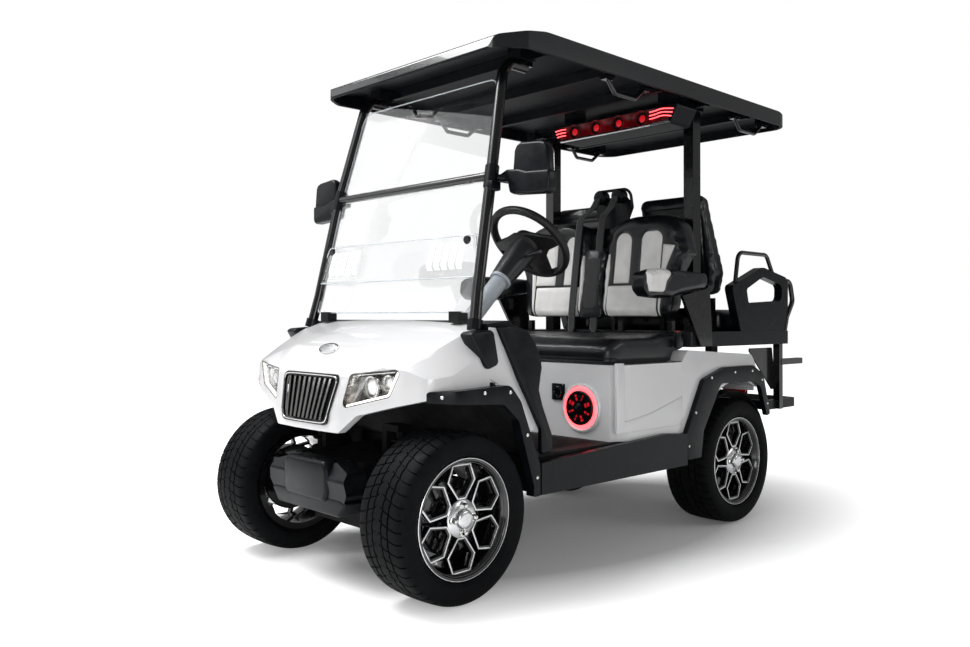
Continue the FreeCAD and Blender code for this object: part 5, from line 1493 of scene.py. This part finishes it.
class CART_OT_stage(bpy.types.Operator):
    """Floor, studio light and camera"""
    bl_idname = "cart.stage"
    bl_label = "Stage"

    def execute(self, context):
        stage = context.scene.cart_stage
        deselect()
        bpy.ops.mesh.primitive_plane_add(size=60, location=(0, 0, 0))
        floor = started("studio_floor")
        look = principled("studio_floor_paint", "F4F4F4", Roughness=0.9, Specular_IOR_Level=0.1)
        # the floor shows white to the eye and in reflections, and still takes the shadow under the cart
        tree = look.tree
        tone = add(tree, NOISE, {"Vector": look.place, "Scale": 1000 / 900}).outputs[0]
        paint = add(tree, BLEND, {0: tone, 6: (*stage.floor_colour, 1), 7: linear("F0F0F0")}, data_type="RGBA")
        tree.links.new(paint.outputs[2], look.shader.inputs["Base Color"])
        ray = add(tree, "ShaderNodeLightPath").outputs
        seen = add(tree, MATHS, {0: ray["Is Glossy Ray"], 1: 0.45}, operation="MULTIPLY").outputs[0]
        for kind in ("Is Camera Ray", "Is Transmission Ray"):
            seen = add(tree, MATHS, {0: ray[kind], 1: seen}, operation="MAXIMUM").outputs[0]
        # the glow grows with the distance from the cart, so the shadow under it stays
        spread = add(tree, "ShaderNodeVectorMath", {0: look.place, 1: (1.45, 0.85, 1)}, operation="MULTIPLY").outputs[0]
        distance = add(tree, "ShaderNodeVectorMath", {0: spread}, operation="LENGTH").outputs["Value"]
        fade = add(tree, RANGE, {"Value": distance, "From Min": 0.9, "From Max": 1.9, "To Min": 0.05}).outputs[0]
        glow = add(tree, "ShaderNodeEmission", {
            "Color": (1, 1, 1, 1), "Strength": add(tree, MATHS, {0: seen, 1: fade}, operation="MULTIPLY").outputs[0]})
        both = add(tree, "ShaderNodeAddShader", {0: look.shader.outputs[0], 1: glow.outputs[0]})
        output = next(item for item in tree.nodes if item.type == "OUTPUT_MATERIAL")
        tree.links.new(both.outputs[0], output.inputs[0])
        floor.data.materials.append(look.material)

        world = context.scene.world or bpy.data.worlds.new("studio")
        context.scene.world = world
        world.use_nodes = True
        tree = world.node_tree
        tree.nodes.clear()
        ray = add(tree, "ShaderNodeLightPath")
        seen = add(tree, "ShaderNodeMath", {0: ray.outputs["Is Camera Ray"], 1: ray.outputs["Is Transmission Ray"]},
                   operation="MAXIMUM")
        soft = add(tree, "ShaderNodeBackground", {"Color": linear("FFFFFF"), "Strength": 0.24})
        white = add(tree, "ShaderNodeBackground", {"Color": (1, 1, 1, 1), "Strength": 1.0})
        mix = add(tree, "ShaderNodeMixShader", {0: seen.outputs[0], 1: soft.outputs[0], 2: white.outputs[0]})
        output = add(tree, "ShaderNodeOutputWorld")
        tree.links.new(mix.outputs[0], output.inputs[0])

        for light in LIGHTS:
            softbox(*light)

        deselect()
        bpy.ops.object.camera_add(location=stage.eye)
        camera = bpy.context.object
        camera.name = "camera"
        camera.data.lens, camera.data.sensor_width = stage.lens, 36
        camera.data.shift_x, camera.data.shift_y = stage.shift
        camera.data.clip_end = 200
        level = math.cos(stage.rise)
        ahead = Vector((-math.sin(stage.heading) * level, math.cos(stage.heading) * level, math.sin(stage.rise)))
        right = ahead.cross(Vector((0, 0, 1))).normalized()
        up = right.cross(ahead)
        leaned = right * math.cos(stage.lean) + up * math.sin(stage.lean)
        raised = up * math.cos(stage.lean) - right * math.sin(stage.lean)
        camera.matrix_world = Matrix((leaned, raised, -ahead)).transposed().to_4x4()
        camera.location = stage.eye
        context.scene.camera = camera
        context.scene.view_settings.view_transform = "Standard"
        return {"FINISHED"}


# ---------------------------------------------------------------- panel and start

ORDER = ["finishes", "wheels", "front_end", "windscreen", "cabin", "body", "seats", "stage"]
SETTINGS = {"cart_stage": StageSettings, "cart_wheels": WheelSettings, "cart_seats": SeatSettings}


class CART_PT_panel(bpy.types.Panel):
    """The steps in their order"""
    bl_label = "Golf cart"
    bl_idname = "CART_PT_panel"
    bl_space_type = "VIEW_3D"
    bl_region_type = "UI"
    bl_category = "Golf Cart"

    def draw(self, context):
        for name in ORDER:
            self.layout.operator("cart." + name)


CLASSES = [*SETTINGS.values(), CART_OT_finishes, CART_OT_wheels, CART_OT_front_end, CART_OT_windscreen,
           CART_OT_cabin, CART_OT_body, CART_OT_seats, CART_OT_stage, CART_PT_panel]


def register():
    for kind in CLASSES:
        bpy.utils.register_class(kind)
    for name, kind in SETTINGS.items():
        setattr(bpy.types.Scene, name, PointerProperty(type=kind))


def unregister():
    for name in SETTINGS:
        delattr(bpy.types.Scene, name)
    for kind in reversed(CLASSES):
        bpy.utils.unregister_class(kind)


def main():
    register()
    for name in ORDER:
        getattr(bpy.ops.cart, name)()
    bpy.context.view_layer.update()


if __name__ == "__main__":
    main()
